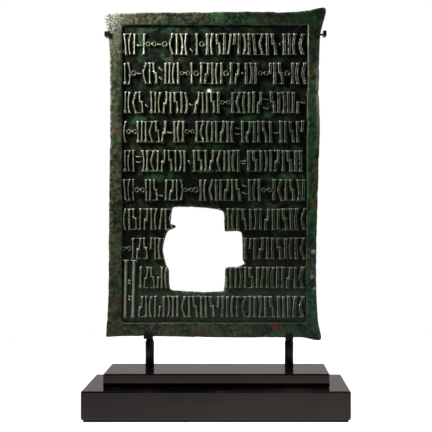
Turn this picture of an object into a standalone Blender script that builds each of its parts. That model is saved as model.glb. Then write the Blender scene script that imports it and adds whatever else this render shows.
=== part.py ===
"""A cast bronze dedicatory plaque, held by a dark metal mount on a gloss black two-tier plinth.

The units are metres. +X is the viewer's right, -Y is towards the viewer and +Z is up.
The origin is the middle of the plinth's underside.
"""

import math
from functools import partial

import bmesh
import bpy

MM = 0.001
COLLECTION_NAME = "Bronze_dedicatory_plaque"
AIR_GAP = 0.3 * MM  # between neighbouring pieces
WELD_DISTANCE = 0.01 * MM

# Plinth: two slabs, the upper one set back by about 20 mm all round. The lower one stands on a low
# foot that is set in under its rounded lower edge.
LOWER_SLAB_WIDTH = 271.2 * MM
LOWER_SLAB_DEPTH = 116.0 * MM
LOWER_SLAB_HEIGHT = 31.2 * MM
UPPER_SLAB_WIDTH = 231.8 * MM
UPPER_SLAB_DEPTH = 77.0 * MM
UPPER_SLAB_TOP = 45.8 * MM
FOOT_HEIGHT = 2.0 * MM
FOOT_INSET = 3.2 * MM
FOOT_LAP = 1.0 * MM  # how far the foot runs up into the slab
LOWER_EDGE_ROUNDING = 3.0 * MM
LOWER_EDGE_STEPS = 3
ARRIS_SHARE = 0.3  # the other edges' bevel, as a share of the lower edge's rounding
ARRIS_STEPS = 2

# Plaque: one casting, standing on its edge
PLAQUE_FRONT = -5.0 * MM  # Y of the border's face
PLAQUE_BACK = 3.5 * MM
CUTTER_MARGIN = 5.0 * MM  # how far cutters run past the faces they cut
FIELD_FLOOR = -1.8 * MM  # Y of the sunk field between the borders
STROKE_FACE = -4.4 * MM
STROKE_ROOT = -1.3 * MM  # strokes start inside the metal
FIELD_LEFT = -99.9 * MM
FIELD_RIGHT_TOP = 95.2 * MM
FIELD_RIGHT_FOOT = 92.9 * MM
FIELD_TOP = 408.1 * MM
FIELD_FOOT = 94.6 * MM
SMALL_HOLE = (-8.9 * MM, 339.0 * MM)  # X, Z
SMALL_HOLE_RADIUS = 2.1 * MM
SMALL_HOLE_SIDES = 16
OUTLINE_STEPS = 2  # steps along the outline from each of its points to the next

# Rows of raised strokes that stand in for the inscription
FIRST_ROW_TOP = 398.8 * MM
ROW_PITCH = 30.7 * MM
ROW_HEIGHT = 22.8 * MM
BAR_WAIST = (2.0 * MM, 2.6 * MM)  # widths at a row's left and right end
BAR_END = (2.9 * MM, 3.5 * MM)
PITCH_GROWTH = 0.22  # how much wider the last sign's share is than the first's
BAR_SWAY = 0.2 * MM  # the most that a bar's head strays to one side
PELLET_RADIUS = 2.7 * MM
PELLET_CORNERS = 6
TWIN_PELLET_RADIUS = 2.3 * MM
TWIN_OFFSET = 2.7 * MM  # from the middle of a pair of pellets to each of them
DASH_LENGTH = 4.6 * MM
DASH_HEIGHT = 2.0 * MM
DRAFT = 0.4 * MM  # how far a stroke's face is inset from its root

# Mount: two posts, two hooks, two uprights, one cross bar and two clips
LEFT_POST_X = -71.4 * MM
RIGHT_POST_X = 75.8 * MM
POST_Y = 2.4 * MM
POST_RADIUS = 4.6 * MM
POST_NECK_RADIUS = 3.8 * MM
POST_SHOULDER_TOP = 75.4 * MM
POST_CHAMFER_SLOPE = 1.6  # the shoulder chamfer's height over its width
POST_SIDES = 24
MOUNT_BEVEL = 0.5 * MM
HOOK_THICKNESS = 2.2 * MM
LEFT_HOOK_X = -72.4 * MM
RIGHT_HOOK_X = 75.8 * MM
LEFT_HOOK_WIDTH = 9.3 * MM
RIGHT_HOOK_WIDTH = 8.2 * MM
LIP_RISE = 4.2 * MM
HOOK_REACH = 9.0 * MM  # how far beside a hook the plaque's foot edge is felt for its lowest point
UPRIGHT_WIDTH = 8.0 * MM
UPRIGHT_THICKNESS = 3.0 * MM
CROSS_BAR_LEFT = -104.0 * MM
CROSS_BAR_RIGHT = 100.0 * MM
CROSS_BAR_FOOT = 393.6 * MM
CROSS_BAR_HEIGHT = 8.0 * MM
CROSS_BAR_THICKNESS = 3.0 * MM
CLIP_TAIL_LENGTH = 22.0 * MM
CLIP_TAIL_HEIGHT = 1.8 * MM
CLIP_TAIL_THICKNESS = 2.0 * MM
CLIP_TAIL_SET_IN = 0.1 * MM  # from the prong's back face
CLIP_LAP = 1.0 * MM  # how far the tail runs into the prong
LEFT_CLIP_HEIGHT = 5.2 * MM
LEFT_CLIP_OUTER = -118.2 * MM
LEFT_CLIP_INNER = -115.9 * MM
LEFT_CLIP_TIP = -112.8 * MM
LEFT_CLIP_Z = 397.8 * MM
RIGHT_CLIP_HEIGHT = 5.8 * MM
RIGHT_CLIP_INNER = 111.4 * MM
RIGHT_CLIP_OUTER = 115.0 * MM
RIGHT_CLIP_Z = 398.8 * MM

# The plaque's outline in millimetres (X, Z), from the top left ear clockwise. Its four ears flare out.
TOP_EDGE = (
    (-118.8, 418.2), (-116.8, 419.8), (-104.0, 419.8), (-89.0, 420.4), (-55.0, 420.7), (-5.0, 421.2),
    (37.0, 421.8), (62.0, 421.2), (82.0, 421.4), (93.0, 422.6), (103.0, 424.6), (112.6, 426.2),
)
RIGHT_EDGE = (
    (114.5, 425.4), (114.2, 420.0), (112.0, 412.4), (109.4, 403.0), (108.0, 393.0), (107.2, 378.0),
    (106.4, 355.0), (105.4, 339.0), (106.4, 318.0), (107.5, 297.0), (107.0, 265.0), (106.0, 234.0),
    (105.0, 202.0), (104.2, 165.0), (104.2, 130.0), (105.1, 108.0), (106.5, 92.0), (109.8, 78.4),
)
FOOT_EDGE = (
    (108.4, 75.6), (99.0, 76.8), (93.6, 78.3), (86.0, 79.1), (45.0, 78.8), (3.0, 79.0),
    (-22.0, 79.3), (-47.0, 80.0), (-89.0, 80.5), (-104.0, 80.2), (-113.4, 79.4),
)
LEFT_EDGE = (
    (-117.4, 79.3), (-116.9, 85.0), (-115.7, 99.0), (-114.6, 118.0), (-114.2, 140.0), (-114.1, 180.0),
    (-113.6, 224.0), (-113.0, 270.0), (-112.6, 300.0), (-112.7, 350.0), (-113.0, 378.0),
    (-114.2, 393.0), (-116.4, 405.0), (-118.2, 412.0),
)

# The lost, roughly cross-shaped area in millimetres (X, Z), clockwise from its top left corner
LOSS_OUTLINE = (
    (-46.6, 216.2), (-31.0, 216.4), (-15.0, 215.6), (-3.0, 214.1), (5.4, 212.3), (7.1, 210.2),
    (7.5, 201.0), (8.0, 190.4), (14.0, 190.7), (21.6, 190.9), (25.6, 189.5), (26.4, 183.5),
    (26.9, 174.0), (26.8, 160.5), (29.2, 156.8), (25.6, 154.6), (21.0, 152.5), (12.8, 153.0),
    (8.4, 151.6), (8.3, 139.6), (7.6, 132.0), (6.9, 127.2), (-4.0, 126.5), (-14.0, 126.1),
    (-26.0, 126.8), (-47.6, 128.1), (-50.2, 129.8), (-50.9, 136.0), (-51.3, 151.5), (-54.1, 154.4),
    (-56.0, 163.0), (-57.8, 169.4), (-57.0, 177.0), (-54.6, 185.4), (-51.8, 191.0), (-43.2, 195.0),
    (-43.8, 196.7), (-49.8, 198.0), (-48.8, 205.0), (-47.8, 213.6),
)

# Each row's left and right end in millimetres, and its rhythm of strokes
ROWS = (
    (-96.6, 88.6, "!(|=|8-o<|)(=|o|(:|/'|)|!<|:.||(<"),
    (-97.0, 91.4, "|)o-<|:=||(|8|o|;|(|o|;.|)|8'|:o|(<"),
    (-96.6, 90.6, "|(<:=||(;|:|)=;||:|8|<(||;=:|)||,-"),
    (-96.8, 89.6, "(8|||<:;=|(|8|<(||;|(=|;||:|=||:|'"),
    (-96.8, 87.8, "|(|=)|<|;:|)|=|:|;<||(|=|:|)|;|:||"),
    (-97.2, 90.8, "!(|8||:=|;|)8o|(<||;|:=|(|8|<|:)|"),
    (-97.0, 90.6, "(|:|;|(=|<|;|||:|)|=|(|:|)|;||:|(<"),
    (-95.8, 90.0, "8|;:=|(|:|=)||<|||:|=|-||;||:|(|<"),
    (-80.6, 88.8, "|;:=|(||<|;||)=||:||)|:|=|(||;|<"),
    (-80.6, 88.8, ";|(|=|)||<|:||:=||(|<||)|:|||=<"),
)

# What each sign draws: how much of the row it takes, and the line that its bar's middle follows from its
# foot to its head, as (to the right, height) in shares of the row's height. The other signs are a pellet,
# a pair of pellets and a dash, and the ticks and dots, which are too fine for the solid, keep their room.
STROKE_KIT = {
    "|": (1.0, ((0.0, 0.0), (0.0, 0.5), (0.0, 1.0))),
    "(": (1.1, ((0.02, 0.0), (-0.05, 0.5), (0.03, 1.0))),
    ")": (1.1, ((-0.02, 0.0), (0.05, 0.5), (-0.03, 1.0))),
    "/": (1.2, ((-0.05, 0.0), (0.0, 0.5), (0.05, 1.0))),
    "!": (1.2, ((0.05, 0.0), (0.0, 0.5), (-0.05, 1.0))),
    "<": (1.6, ((0.08, 0.0), (-0.08, 0.5), (0.08, 1.0))),
    "'": (0.95, ((-0.01, 0.46), (0.0, 0.7), (0.02, 1.0))),
    ",": (0.95, ((-0.01, 0.0), (0.0, 0.3), (0.02, 0.54))),
    ":": (1.65, ((0.08, 0.0), (0.03, 0.50), (-0.04, 0.58), (-0.07, 1.0))),
    ";": (1.65, ((-0.07, 0.0), (-0.04, 0.42), (0.03, 0.50), (0.08, 1.0))),
    "=": (1.3, ()),
    ".": (0.8, ()),
    "o": (1.3, ()),
    "8": (2.3, ()),
    "-": (1.4, ()),
}

# Two tall bars at the left of the last two rows
TALL_BARS_X = (-95.9 * MM, -87.5 * MM)
TALL_BARS_LEAN = 1.6 * MM
TALL_BARS_TOP = 160.4 * MM
TALL_BARS_FOOT = 100.6 * MM
TALL_BARS_WAIST = 3.0 * MM
TALL_BARS_END = 4.6 * MM


def clear_scene():
    for old in list(bpy.data.objects):
        bpy.data.objects.remove(old, do_unlink=True)


def new_collection(name):
    collection = bpy.data.collections.new(name)
    bpy.context.scene.collection.children.link(collection)
    return collection


def new_material(name, colour, roughness, metallic):
    material = bpy.data.materials.new(name)
    material.use_nodes = True
    shader = material.node_tree.nodes["Principled BSDF"]
    shader.inputs["Base Color"].default_value = (*colour, 1.0)
    shader.inputs["Roughness"].default_value = roughness
    shader.inputs["Metallic"].default_value = metallic
    return material


def add_mesh_object(name, mesh, collection, material=None):
    thing = bpy.data.objects.new(name, mesh)
    collection.objects.link(thing)
    if material:
        thing.data.materials.append(material)
    return thing


def as_cutter(thing):
    thing.hide_render = True
    thing.display_type = "WIRE"
    return thing


def box_object(name, low, high, collection, material=None):
    """A box between two corners, with its origin at its middle."""
    mesh = bpy.data.meshes.new(name)
    shape = bmesh.new()
    bmesh.ops.create_cube(shape, size=1.0)
    size = [high[axis] - low[axis] for axis in range(3)]
    bmesh.ops.scale(shape, vec=size, verts=shape.verts)
    shape.to_mesh(mesh)
    shape.free()
    thing = add_mesh_object(name, mesh, collection, material)
    thing.location = [(low[axis] + high[axis]) / 2 for axis in range(3)]
    return thing


def add_bevel(thing, width, segments):
    bevel = thing.modifiers.new("Edges", "BEVEL")
    bevel.width = width
    bevel.segments = segments
    bevel.limit_method = "ANGLE"
    return bevel


def add_boolean(thing, other, operation):
    cut = thing.modifiers.new(other.name, "BOOLEAN")
    cut.operation = operation
    cut.solver = "EXACT"
    cut.object = other


def plate_object(name, outline, thickness, location, rotation, collection, material=None):
    """A flat plate: an outline in the object's X-Y plane, with half its thickness on either side."""
    curve = bpy.data.curves.new(name, "CURVE")
    curve.dimensions = "2D"
    curve.fill_mode = "BOTH"
    curve.extrude = thickness / 2
    spline = curve.splines.new("POLY")
    spline.points.add(len(outline) - 1)
    for point, (across, up) in zip(spline.points, outline):
        point.co = (across, up, 0.0, 1.0)
    spline.use_cyclic_u = True
    drawn = bpy.data.objects.new(name + "_outline", curve)
    collection.objects.link(drawn)
    drawn.location = location
    drawn.rotation_euler = [math.radians(angle) for angle in rotation]
    bpy.context.view_layer.update()

    evaluated = drawn.evaluated_get(bpy.context.evaluated_depsgraph_get())
    mesh = bpy.data.meshes.new_from_object(evaluated)
    shape = bmesh.new()
    shape.from_mesh(mesh)
    bmesh.ops.remove_doubles(shape, verts=shape.verts, dist=WELD_DISTANCE)
    bmesh.ops.recalc_face_normals(shape, faces=shape.faces)
    shape.to_mesh(mesh)
    shape.free()
    plate = add_mesh_object(name, mesh, collection, material)
    plate.matrix_world = drawn.matrix_world
    bpy.data.objects.remove(drawn, do_unlink=True)
    return plate


def standing_plate(name, outline, front, back, collection, material=None):
    """A plate whose outline stands in the X-Z plane, between two depths."""
    place = (0.0, (front + back) / 2, 0.0)
    return plate_object(name, outline, back - front, place, (90, 0, 0), collection, material)


def smooth_run(points, steps):
    """Points of a Catmull-Rom curve through a run of points, its last point left out."""
    run = []
    last = len(points) - 1
    for index in range(last):
        before = points[max(index - 1, 0)]
        start = points[index]
        end = points[index + 1]
        after = points[min(index + 2, last)]
        for step in range(steps):
            t = step / steps
            run.append(
                tuple(
                    0.5 * (2 * b + (c - a) * t + (2 * a - 5 * b + 4 * c - d) * t**2
                           + (3 * b - a - 3 * c + d) * t**3)
                    for a, b, c, d in zip(before, start, end, after)
                )
            )
    return run


def plaque_outline():
    """The four edges, each a smooth run that ends at the next edge's first point."""
    outline = []
    edges = (TOP_EDGE, RIGHT_EDGE, FOOT_EDGE, LEFT_EDGE)
    for edge, following in zip(edges, edges[1:] + edges[:1]):
        outline += smooth_run(edge + following[:1], OUTLINE_STEPS)
    return [(x * MM, z * MM) for x, z in outline]


def wobble(row, index):
    """A small repeatable unevenness between -1 and 1."""
    return math.sin(12.9898 * index + 4.137 * row + 0.7 * row * index)


def between(ends, share):
    return ends[0] + (ends[1] - ends[0]) * share


def bar_outline(line, waist, end, inset):
    """Points round a bar with wide ends and a narrower middle, anticlockwise from its foot."""
    last = len(line) - 1
    right, left = [], []
    for index, (x, z) in enumerate(line):
        half = (end if index in (0, last) else waist) / 2 - inset
        level = z + inset * ((index == 0) - (index == last))
        right.append((x + half, level))
        left.append((x - half, level))
    return right + left[::-1]


def pellet_outline(x, z, radius, inset):
    reach = radius - inset
    turns = [math.tau * corner / PELLET_CORNERS for corner in range(PELLET_CORNERS)]
    return [(x + reach * math.cos(turn), z + reach * math.sin(turn)) for turn in turns]


def dash_outline(x, z, inset):
    half = DASH_LENGTH / 2 - inset
    height = DASH_HEIGHT / 2 - inset
    return [(x - half, z - height), (x + half, z - height), (x + half, z + height), (x - half, z + height)]


def row_strokes():
    """For every stroke, a function that gives its outline at a given inset from its root."""
    strokes = []
    for row, (left, right, rhythm) in enumerate(ROWS):
        last = len(rhythm) - 1
        shares = [STROKE_KIT[sign][0] * (1 + PITCH_GROWTH * i / last) for i, sign in enumerate(rhythm)]
        unit = (right - left) * MM / (sum(shares) - (shares[0] + shares[-1]) / 2)
        foot = FIRST_ROW_TOP - row * ROW_PITCH - ROW_HEIGHT
        middle = foot + ROW_HEIGHT / 2
        x = left * MM - shares[0] / 2 * unit
        for index, sign in enumerate(rhythm):
            centre = x + shares[index] / 2 * unit
            x += shares[index] * unit
            if sign == "o":
                strokes.append(partial(pellet_outline, centre, middle, PELLET_RADIUS))
            elif sign == "8":
                for offset in (-TWIN_OFFSET, TWIN_OFFSET):
                    strokes.append(partial(pellet_outline, centre + offset, middle, TWIN_PELLET_RADIUS))
            elif sign == "-":
                strokes.append(partial(dash_outline, centre, middle))
            elif STROKE_KIT[sign][1]:
                strokes.append(row_bar(row, index, centre, foot, STROKE_KIT[sign][1]))
    return strokes


def row_bar(row, index, centre, foot, shape):
    progress = (centre - FIELD_LEFT) / (FIELD_RIGHT_TOP - FIELD_LEFT)
    sway = BAR_SWAY * wobble(row, index)
    line = [
        (centre + aside * ROW_HEIGHT + sway * (2 * height - 1), foot + height * ROW_HEIGHT)
        for aside, height in shape
    ]
    return partial(bar_outline, line, between(BAR_WAIST, progress), between(BAR_END, progress))


def tall_strokes():
    strokes = []
    for x in TALL_BARS_X:
        foot = (x - TALL_BARS_LEAN / 2, TALL_BARS_FOOT)
        middle = (x, (TALL_BARS_FOOT + TALL_BARS_TOP) / 2)
        head = (x + TALL_BARS_LEAN / 2, TALL_BARS_TOP)
        strokes.append(partial(bar_outline, (foot, middle, head), TALL_BARS_WAIST, TALL_BARS_END))
    return strokes


def add_stroke(shape, outline_at):
    """One raised stroke: a loft from its root to its smaller face."""
    root = [shape.verts.new((x, STROKE_ROOT, z)) for x, z in outline_at(0.0)]
    face = [shape.verts.new((x, STROKE_FACE, z)) for x, z in outline_at(DRAFT)]
    shape.faces.new(root[::-1])
    shape.faces.new(face)
    count = len(root)
    for index in range(count):
        following = (index + 1) % count
        shape.faces.new((root[index], root[following], face[following], face[index]))


def build_strokes(collection):
    mesh = bpy.data.meshes.new("strokes")
    shape = bmesh.new()
    for outline_at in row_strokes() + tall_strokes():
        add_stroke(shape, outline_at)
    bmesh.ops.recalc_face_normals(shape, faces=shape.faces)
    shape.to_mesh(mesh)
    shape.free()
    return as_cutter(add_mesh_object("strokes", mesh, collection))


def build_drill(name, place, radius, length, collection):
    """A round cutter along Y."""
    mesh = bpy.data.meshes.new(name)
    shape = bmesh.new()
    sides = SMALL_HOLE_SIDES
    bmesh.ops.create_cone(
        shape, cap_ends=True, segments=sides, radius1=radius, radius2=radius, depth=length
    )
    shape.to_mesh(mesh)
    shape.free()
    drill = add_mesh_object(name, mesh, collection)
    drill.location = place
    drill.rotation_euler = (math.radians(90), 0.0, 0.0)
    return as_cutter(drill)


def build_plaque(collection, cutters, bronze):
    plaque = standing_plate("plaque", plaque_outline(), PLAQUE_FRONT, PLAQUE_BACK, collection, bronze)

    before = PLAQUE_FRONT - CUTTER_MARGIN
    behind = PLAQUE_BACK + CUTTER_MARGIN
    field = (
        (FIELD_LEFT, FIELD_TOP), (FIELD_LEFT, FIELD_FOOT),
        (FIELD_RIGHT_FOOT, FIELD_FOOT), (FIELD_RIGHT_TOP, FIELD_TOP),
    )
    field_cutter = standing_plate("field", field, before, FIELD_FLOOR, cutters)
    add_boolean(plaque, as_cutter(field_cutter), "DIFFERENCE")

    add_boolean(plaque, build_strokes(cutters), "UNION")

    loss = [(x * MM, z * MM) for x, z in LOSS_OUTLINE]
    loss_cutter = standing_plate("loss", loss, before, behind, cutters)
    add_boolean(plaque, as_cutter(loss_cutter), "DIFFERENCE")

    hole_place = (SMALL_HOLE[0], (before + behind) / 2, SMALL_HOLE[1])
    drill = build_drill("small_hole", hole_place, SMALL_HOLE_RADIUS, behind - before, cutters)
    add_boolean(plaque, drill, "DIFFERENCE")


def build_slab(name, width, depth, levels, rounded_foot, collection, material):
    """A slab with a small arris on its edges, or a wide rounding on those round its foot."""
    low = (-width / 2, -depth / 2, levels[0])
    high = (width / 2, depth / 2, levels[1])
    slab = box_object(name, low, high, collection, material)
    weights = slab.data.attributes.new("bevel_weight_edge", "FLOAT", "EDGE")
    for edge in slab.data.edges:
        at_foot = all(slab.data.vertices[end].co.z < 0 for end in edge.vertices)
        weights.data[edge.index].value = 1.0 if at_foot and rounded_foot else ARRIS_SHARE
    bevel = add_bevel(slab, LOWER_EDGE_ROUNDING, LOWER_EDGE_STEPS if rounded_foot else ARRIS_STEPS)
    bevel.limit_method = "WEIGHT"
    return slab


def build_plinth(collection, cutters, gloss):
    lower_levels = (FOOT_HEIGHT, LOWER_SLAB_HEIGHT)
    upper_levels = (LOWER_SLAB_HEIGHT + AIR_GAP, UPPER_SLAB_TOP)
    lower = build_slab(
        "lower_plinth", LOWER_SLAB_WIDTH, LOWER_SLAB_DEPTH, lower_levels, True, collection, gloss
    )
    foot_low = (FOOT_INSET - LOWER_SLAB_WIDTH / 2, FOOT_INSET - LOWER_SLAB_DEPTH / 2, 0.0)
    foot_high = (-foot_low[0], -foot_low[1], FOOT_HEIGHT + FOOT_LAP)
    add_boolean(lower, as_cutter(box_object("lower_foot", foot_low, foot_high, cutters)), "UNION")
    build_slab("upper_plinth", UPPER_SLAB_WIDTH, UPPER_SLAB_DEPTH, upper_levels, False, collection, gloss)


def foot_edge_height(x, half_width):
    """The lowest height of the plaque's foot edge over a hook."""
    reach = half_width + HOOK_REACH
    return min(z for edge_x, z in plaque_outline() if abs(edge_x - x) < reach and z < FIELD_FOOT)


def build_post(name, x, top, collection, material):
    """A turned post: a round shaft with a chamfered shoulder and a short neck."""
    foot = UPPER_SLAB_TOP + AIR_GAP
    chamfer = POST_RADIUS - POST_NECK_RADIUS
    profile = (
        (0.0, top), (POST_NECK_RADIUS, top), (POST_NECK_RADIUS, POST_SHOULDER_TOP),
        (POST_RADIUS, POST_SHOULDER_TOP - POST_CHAMFER_SLOPE * chamfer), (POST_RADIUS, foot), (0.0, foot),
    )
    mesh = bpy.data.meshes.new(name)
    shape = bmesh.new()
    line = [shape.verts.new((radius, 0.0, z)) for radius, z in profile]
    for start, end in zip(line, line[1:]):
        shape.edges.new((start, end))
    shape.to_mesh(mesh)
    shape.free()
    post = add_mesh_object(name, mesh, collection, material)
    post.location = (x, POST_Y, 0.0)
    screw = post.modifiers.new("Turned", "SCREW")
    screw.steps = POST_SIDES
    screw.render_steps = POST_SIDES
    screw.use_merge_vertices = True
    screw.merge_threshold = WELD_DISTANCE


def build_hook(name, x, width, floor_top, collection, material):
    """A shoe under the plaque's foot edge, turned up into a lip in front of it."""
    lip_back = PLAQUE_FRONT - AIR_GAP
    lip_front = lip_back - HOOK_THICKNESS
    floor_back = PLAQUE_BACK + AIR_GAP + UPRIGHT_THICKNESS
    floor_foot = floor_top - HOOK_THICKNESS
    profile = (
        (lip_front, floor_foot), (floor_back, floor_foot), (floor_back, floor_top),
        (lip_back, floor_top), (lip_back, floor_top + LIP_RISE), (lip_front, floor_top + LIP_RISE),
    )
    hook = plate_object(name, profile, width, (x, 0.0, 0.0), (90, 0, 90), collection, material)
    add_bevel(hook, MOUNT_BEVEL, 1)


def build_upright(name, x, foot, collection, material):
    front = PLAQUE_BACK + AIR_GAP
    low = (x - UPRIGHT_WIDTH / 2, front, foot)
    high = (x + UPRIGHT_WIDTH / 2, front + UPRIGHT_THICKNESS, CROSS_BAR_FOOT + CROSS_BAR_HEIGHT)
    upright = box_object(name, low, high, collection, material)
    add_bevel(upright, MOUNT_BEVEL, 1)


def clip_with_tail(prong, tail_low, tail_high, cutters):
    """Joins a prong to the thin tail that carries it from behind the plaque."""
    tail = box_object(prong.name + "_tail", tail_low, tail_high, cutters)
    add_boolean(prong, as_cutter(tail), "UNION")


def build_left_clip(back, collection, cutters, material):
    """A prong beside the plaque whose tip turns over the border's face."""
    front = PLAQUE_FRONT - AIR_GAP
    tip_front = front - HOOK_THICKNESS
    outline = (
        (LEFT_CLIP_OUTER, tip_front), (LEFT_CLIP_TIP, tip_front), (LEFT_CLIP_TIP, front),
        (LEFT_CLIP_INNER, front), (LEFT_CLIP_INNER, back), (LEFT_CLIP_OUTER, back),
    )
    place = (0.0, 0.0, LEFT_CLIP_Z)
    clip = plate_object("left_clip", outline, LEFT_CLIP_HEIGHT, place, (0, 0, 0), collection, material)
    add_bevel(clip, MOUNT_BEVEL, 1)
    tail_foot = LEFT_CLIP_Z - CLIP_TAIL_HEIGHT / 2
    tail_low = (LEFT_CLIP_INNER - CLIP_LAP, back - CLIP_TAIL_THICKNESS, tail_foot)
    tail_high = (LEFT_CLIP_INNER + CLIP_TAIL_LENGTH, back - CLIP_TAIL_SET_IN, tail_foot + CLIP_TAIL_HEIGHT)
    clip_with_tail(clip, tail_low, tail_high, cutters)


def build_right_clip(back, collection, cutters, material):
    """A straight prong that stands a little clear of the plaque."""
    half = RIGHT_CLIP_HEIGHT / 2
    low = (RIGHT_CLIP_INNER, PLAQUE_FRONT, RIGHT_CLIP_Z - half)
    high = (RIGHT_CLIP_OUTER, back, RIGHT_CLIP_Z + half)
    clip = box_object("right_clip", low, high, collection, material)
    add_bevel(clip, MOUNT_BEVEL, 1)
    tail_foot = RIGHT_CLIP_Z - CLIP_TAIL_HEIGHT / 2
    tail_low = (RIGHT_CLIP_INNER - CLIP_TAIL_LENGTH, back - CLIP_TAIL_THICKNESS, tail_foot)
    tail_high = (RIGHT_CLIP_INNER + CLIP_LAP, back - CLIP_TAIL_SET_IN, tail_foot + CLIP_TAIL_HEIGHT)
    clip_with_tail(clip, tail_low, tail_high, cutters)


def build_mount(collection, cutters, dark_metal):
    for side, post_x, x, width in (
        ("left", LEFT_POST_X, LEFT_HOOK_X, LEFT_HOOK_WIDTH),
        ("right", RIGHT_POST_X, RIGHT_HOOK_X, RIGHT_HOOK_WIDTH),
    ):
        floor_top = foot_edge_height(x, width / 2) - AIR_GAP
        post_top = floor_top - HOOK_THICKNESS - AIR_GAP
        build_post(side + "_post", post_x, post_top, collection, dark_metal)
        build_hook(side + "_hook", x, width, floor_top, collection, dark_metal)
        build_upright(side + "_upright", x, floor_top + AIR_GAP, collection, dark_metal)

    bar_front = PLAQUE_BACK + 2 * AIR_GAP + UPRIGHT_THICKNESS
    low = (CROSS_BAR_LEFT, bar_front, CROSS_BAR_FOOT)
    high = (CROSS_BAR_RIGHT, bar_front + CROSS_BAR_THICKNESS, CROSS_BAR_FOOT + CROSS_BAR_HEIGHT)
    add_bevel(box_object("cross_bar", low, high, collection, dark_metal), MOUNT_BEVEL, 1)

    clip_back = bar_front - AIR_GAP
    build_left_clip(clip_back, collection, cutters, dark_metal)
    build_right_clip(clip_back, collection, cutters, dark_metal)


def main():
    clear_scene()
    parts = new_collection(COLLECTION_NAME)
    cutters = new_collection("Cutters")
    bronze = new_material("Patinated_bronze", (0.045, 0.06, 0.035), 0.5, 0.6)
    dark_metal = new_material("Blackened_metal", (0.012, 0.009, 0.008), 0.35, 0.6)
    gloss = new_material("Gloss_black", (0.008, 0.007, 0.007), 0.08, 0.0)
    build_plinth(parts, cutters, gloss)
    build_mount(parts, cutters, dark_metal)
    build_plaque(parts, cutters, bronze)


main()
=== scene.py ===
"""The looks of a bronze dedicatory plaque on its black stepped plinth.

The plaque's fine relief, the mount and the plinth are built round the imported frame. Lengths of the
relief are in millimetres, and become metres when a mesh is made. +X is the viewer's right, -Y is
towards the viewer and +Z is up.
"""

import math
from collections import namedtuple

import bmesh
import bpy
import numpy as np
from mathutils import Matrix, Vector
from mathutils.geometry import delaunay_2d_cdt


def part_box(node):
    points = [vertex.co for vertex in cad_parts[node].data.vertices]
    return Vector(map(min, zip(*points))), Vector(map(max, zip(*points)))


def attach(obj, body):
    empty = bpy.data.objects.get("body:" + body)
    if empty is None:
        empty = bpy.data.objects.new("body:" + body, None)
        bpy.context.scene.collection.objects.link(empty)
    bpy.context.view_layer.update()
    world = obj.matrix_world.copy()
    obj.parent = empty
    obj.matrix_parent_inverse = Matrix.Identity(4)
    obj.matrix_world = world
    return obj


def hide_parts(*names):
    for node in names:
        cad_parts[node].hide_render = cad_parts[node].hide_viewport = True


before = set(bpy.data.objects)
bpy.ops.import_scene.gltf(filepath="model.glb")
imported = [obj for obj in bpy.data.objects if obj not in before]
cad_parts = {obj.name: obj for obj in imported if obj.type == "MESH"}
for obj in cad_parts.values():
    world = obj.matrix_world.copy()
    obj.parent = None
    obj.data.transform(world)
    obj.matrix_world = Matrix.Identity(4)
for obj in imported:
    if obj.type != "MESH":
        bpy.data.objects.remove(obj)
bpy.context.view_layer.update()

MM = 0.001
BODY = "root"

# Plaque: heights are measured forwards from the sunk field's floor
FIELD_FLOOR = -1.8  # Y
BORDER_RISE = 3.2
STROKE_RISE = 2.6
FIELD_LEFT = -99.9
FIELD_RIGHT_TOP = 95.2
FIELD_RIGHT_FOOT = 92.9
FIELD_TOP = 407.3
FIELD_FOOT = 94.6
WALL_WIDTH = 1.1  # over which the border and the strokes rise from the floor
EDGE_ROUND = 1.7  # width of the worn rounding at the rim and round the loss
EDGE_DROP = 1.2
EAR_FROM = (-95.4, 396.0)  # X and Z from which the ear at the upper left lies lower
EAR_REACH = 22.0
EAR_DROP = 2.2

# Rows of strokes
FIRST_ROW_TOP = 398.8
ROW_PITCH = 30.7
ROW_HEIGHT = 22.8
BAR_WAIST = (0.85, 1.65)  # half widths at a row's left and right end
BAR_FLARE = (1.0, 0.8)  # added to them at a bar's head and foot
BAR_SHOULDER = (1.3, 0.85)  # how far in from its outline a bar is rounded
PITCH_GROWTH = 0.22  # how much wider the last sign's share is than the first's
BAR_SWAY = 0.25
SERIF_REACH = 1.3  # how fast a bar's end flares
KINK_SOFTNESS = 0.012
GROOVE_DEPTH = (0.35, 0.85)
GROOVE_WIDTH = (0.40, 0.70)
PELLET_RADIUS = 3.4
TWIN_PELLET_RADIUS = 2.8
TWIN_OFFSET = 3.2  # from the middle of a pair of pellets to each of them
DOT_RADIUS = 1.5
DIMPLE_SHARE = 0.72  # of a pellet's radius
DIMPLE_DEPTH = 2.4
LINK_REACH = 1.5  # half of the short link between a pair of pellets
DASH_LENGTH = 5.2
DASH_RISE = 2.1
RUNG_TURN = math.radians(-108)
RUNG_SWING = math.radians(26)
RUNG_HEIGHTS = (0.34, 0.60)  # shares of the row's height
RUNG_RISE = 1.7
FOOT_RING_RADIUS = 2.1
LEDGE_RISE = 2.1
LEDGE_HALF_WIDTH = 0.6
LEDGE_INSET = 0.8

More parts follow.
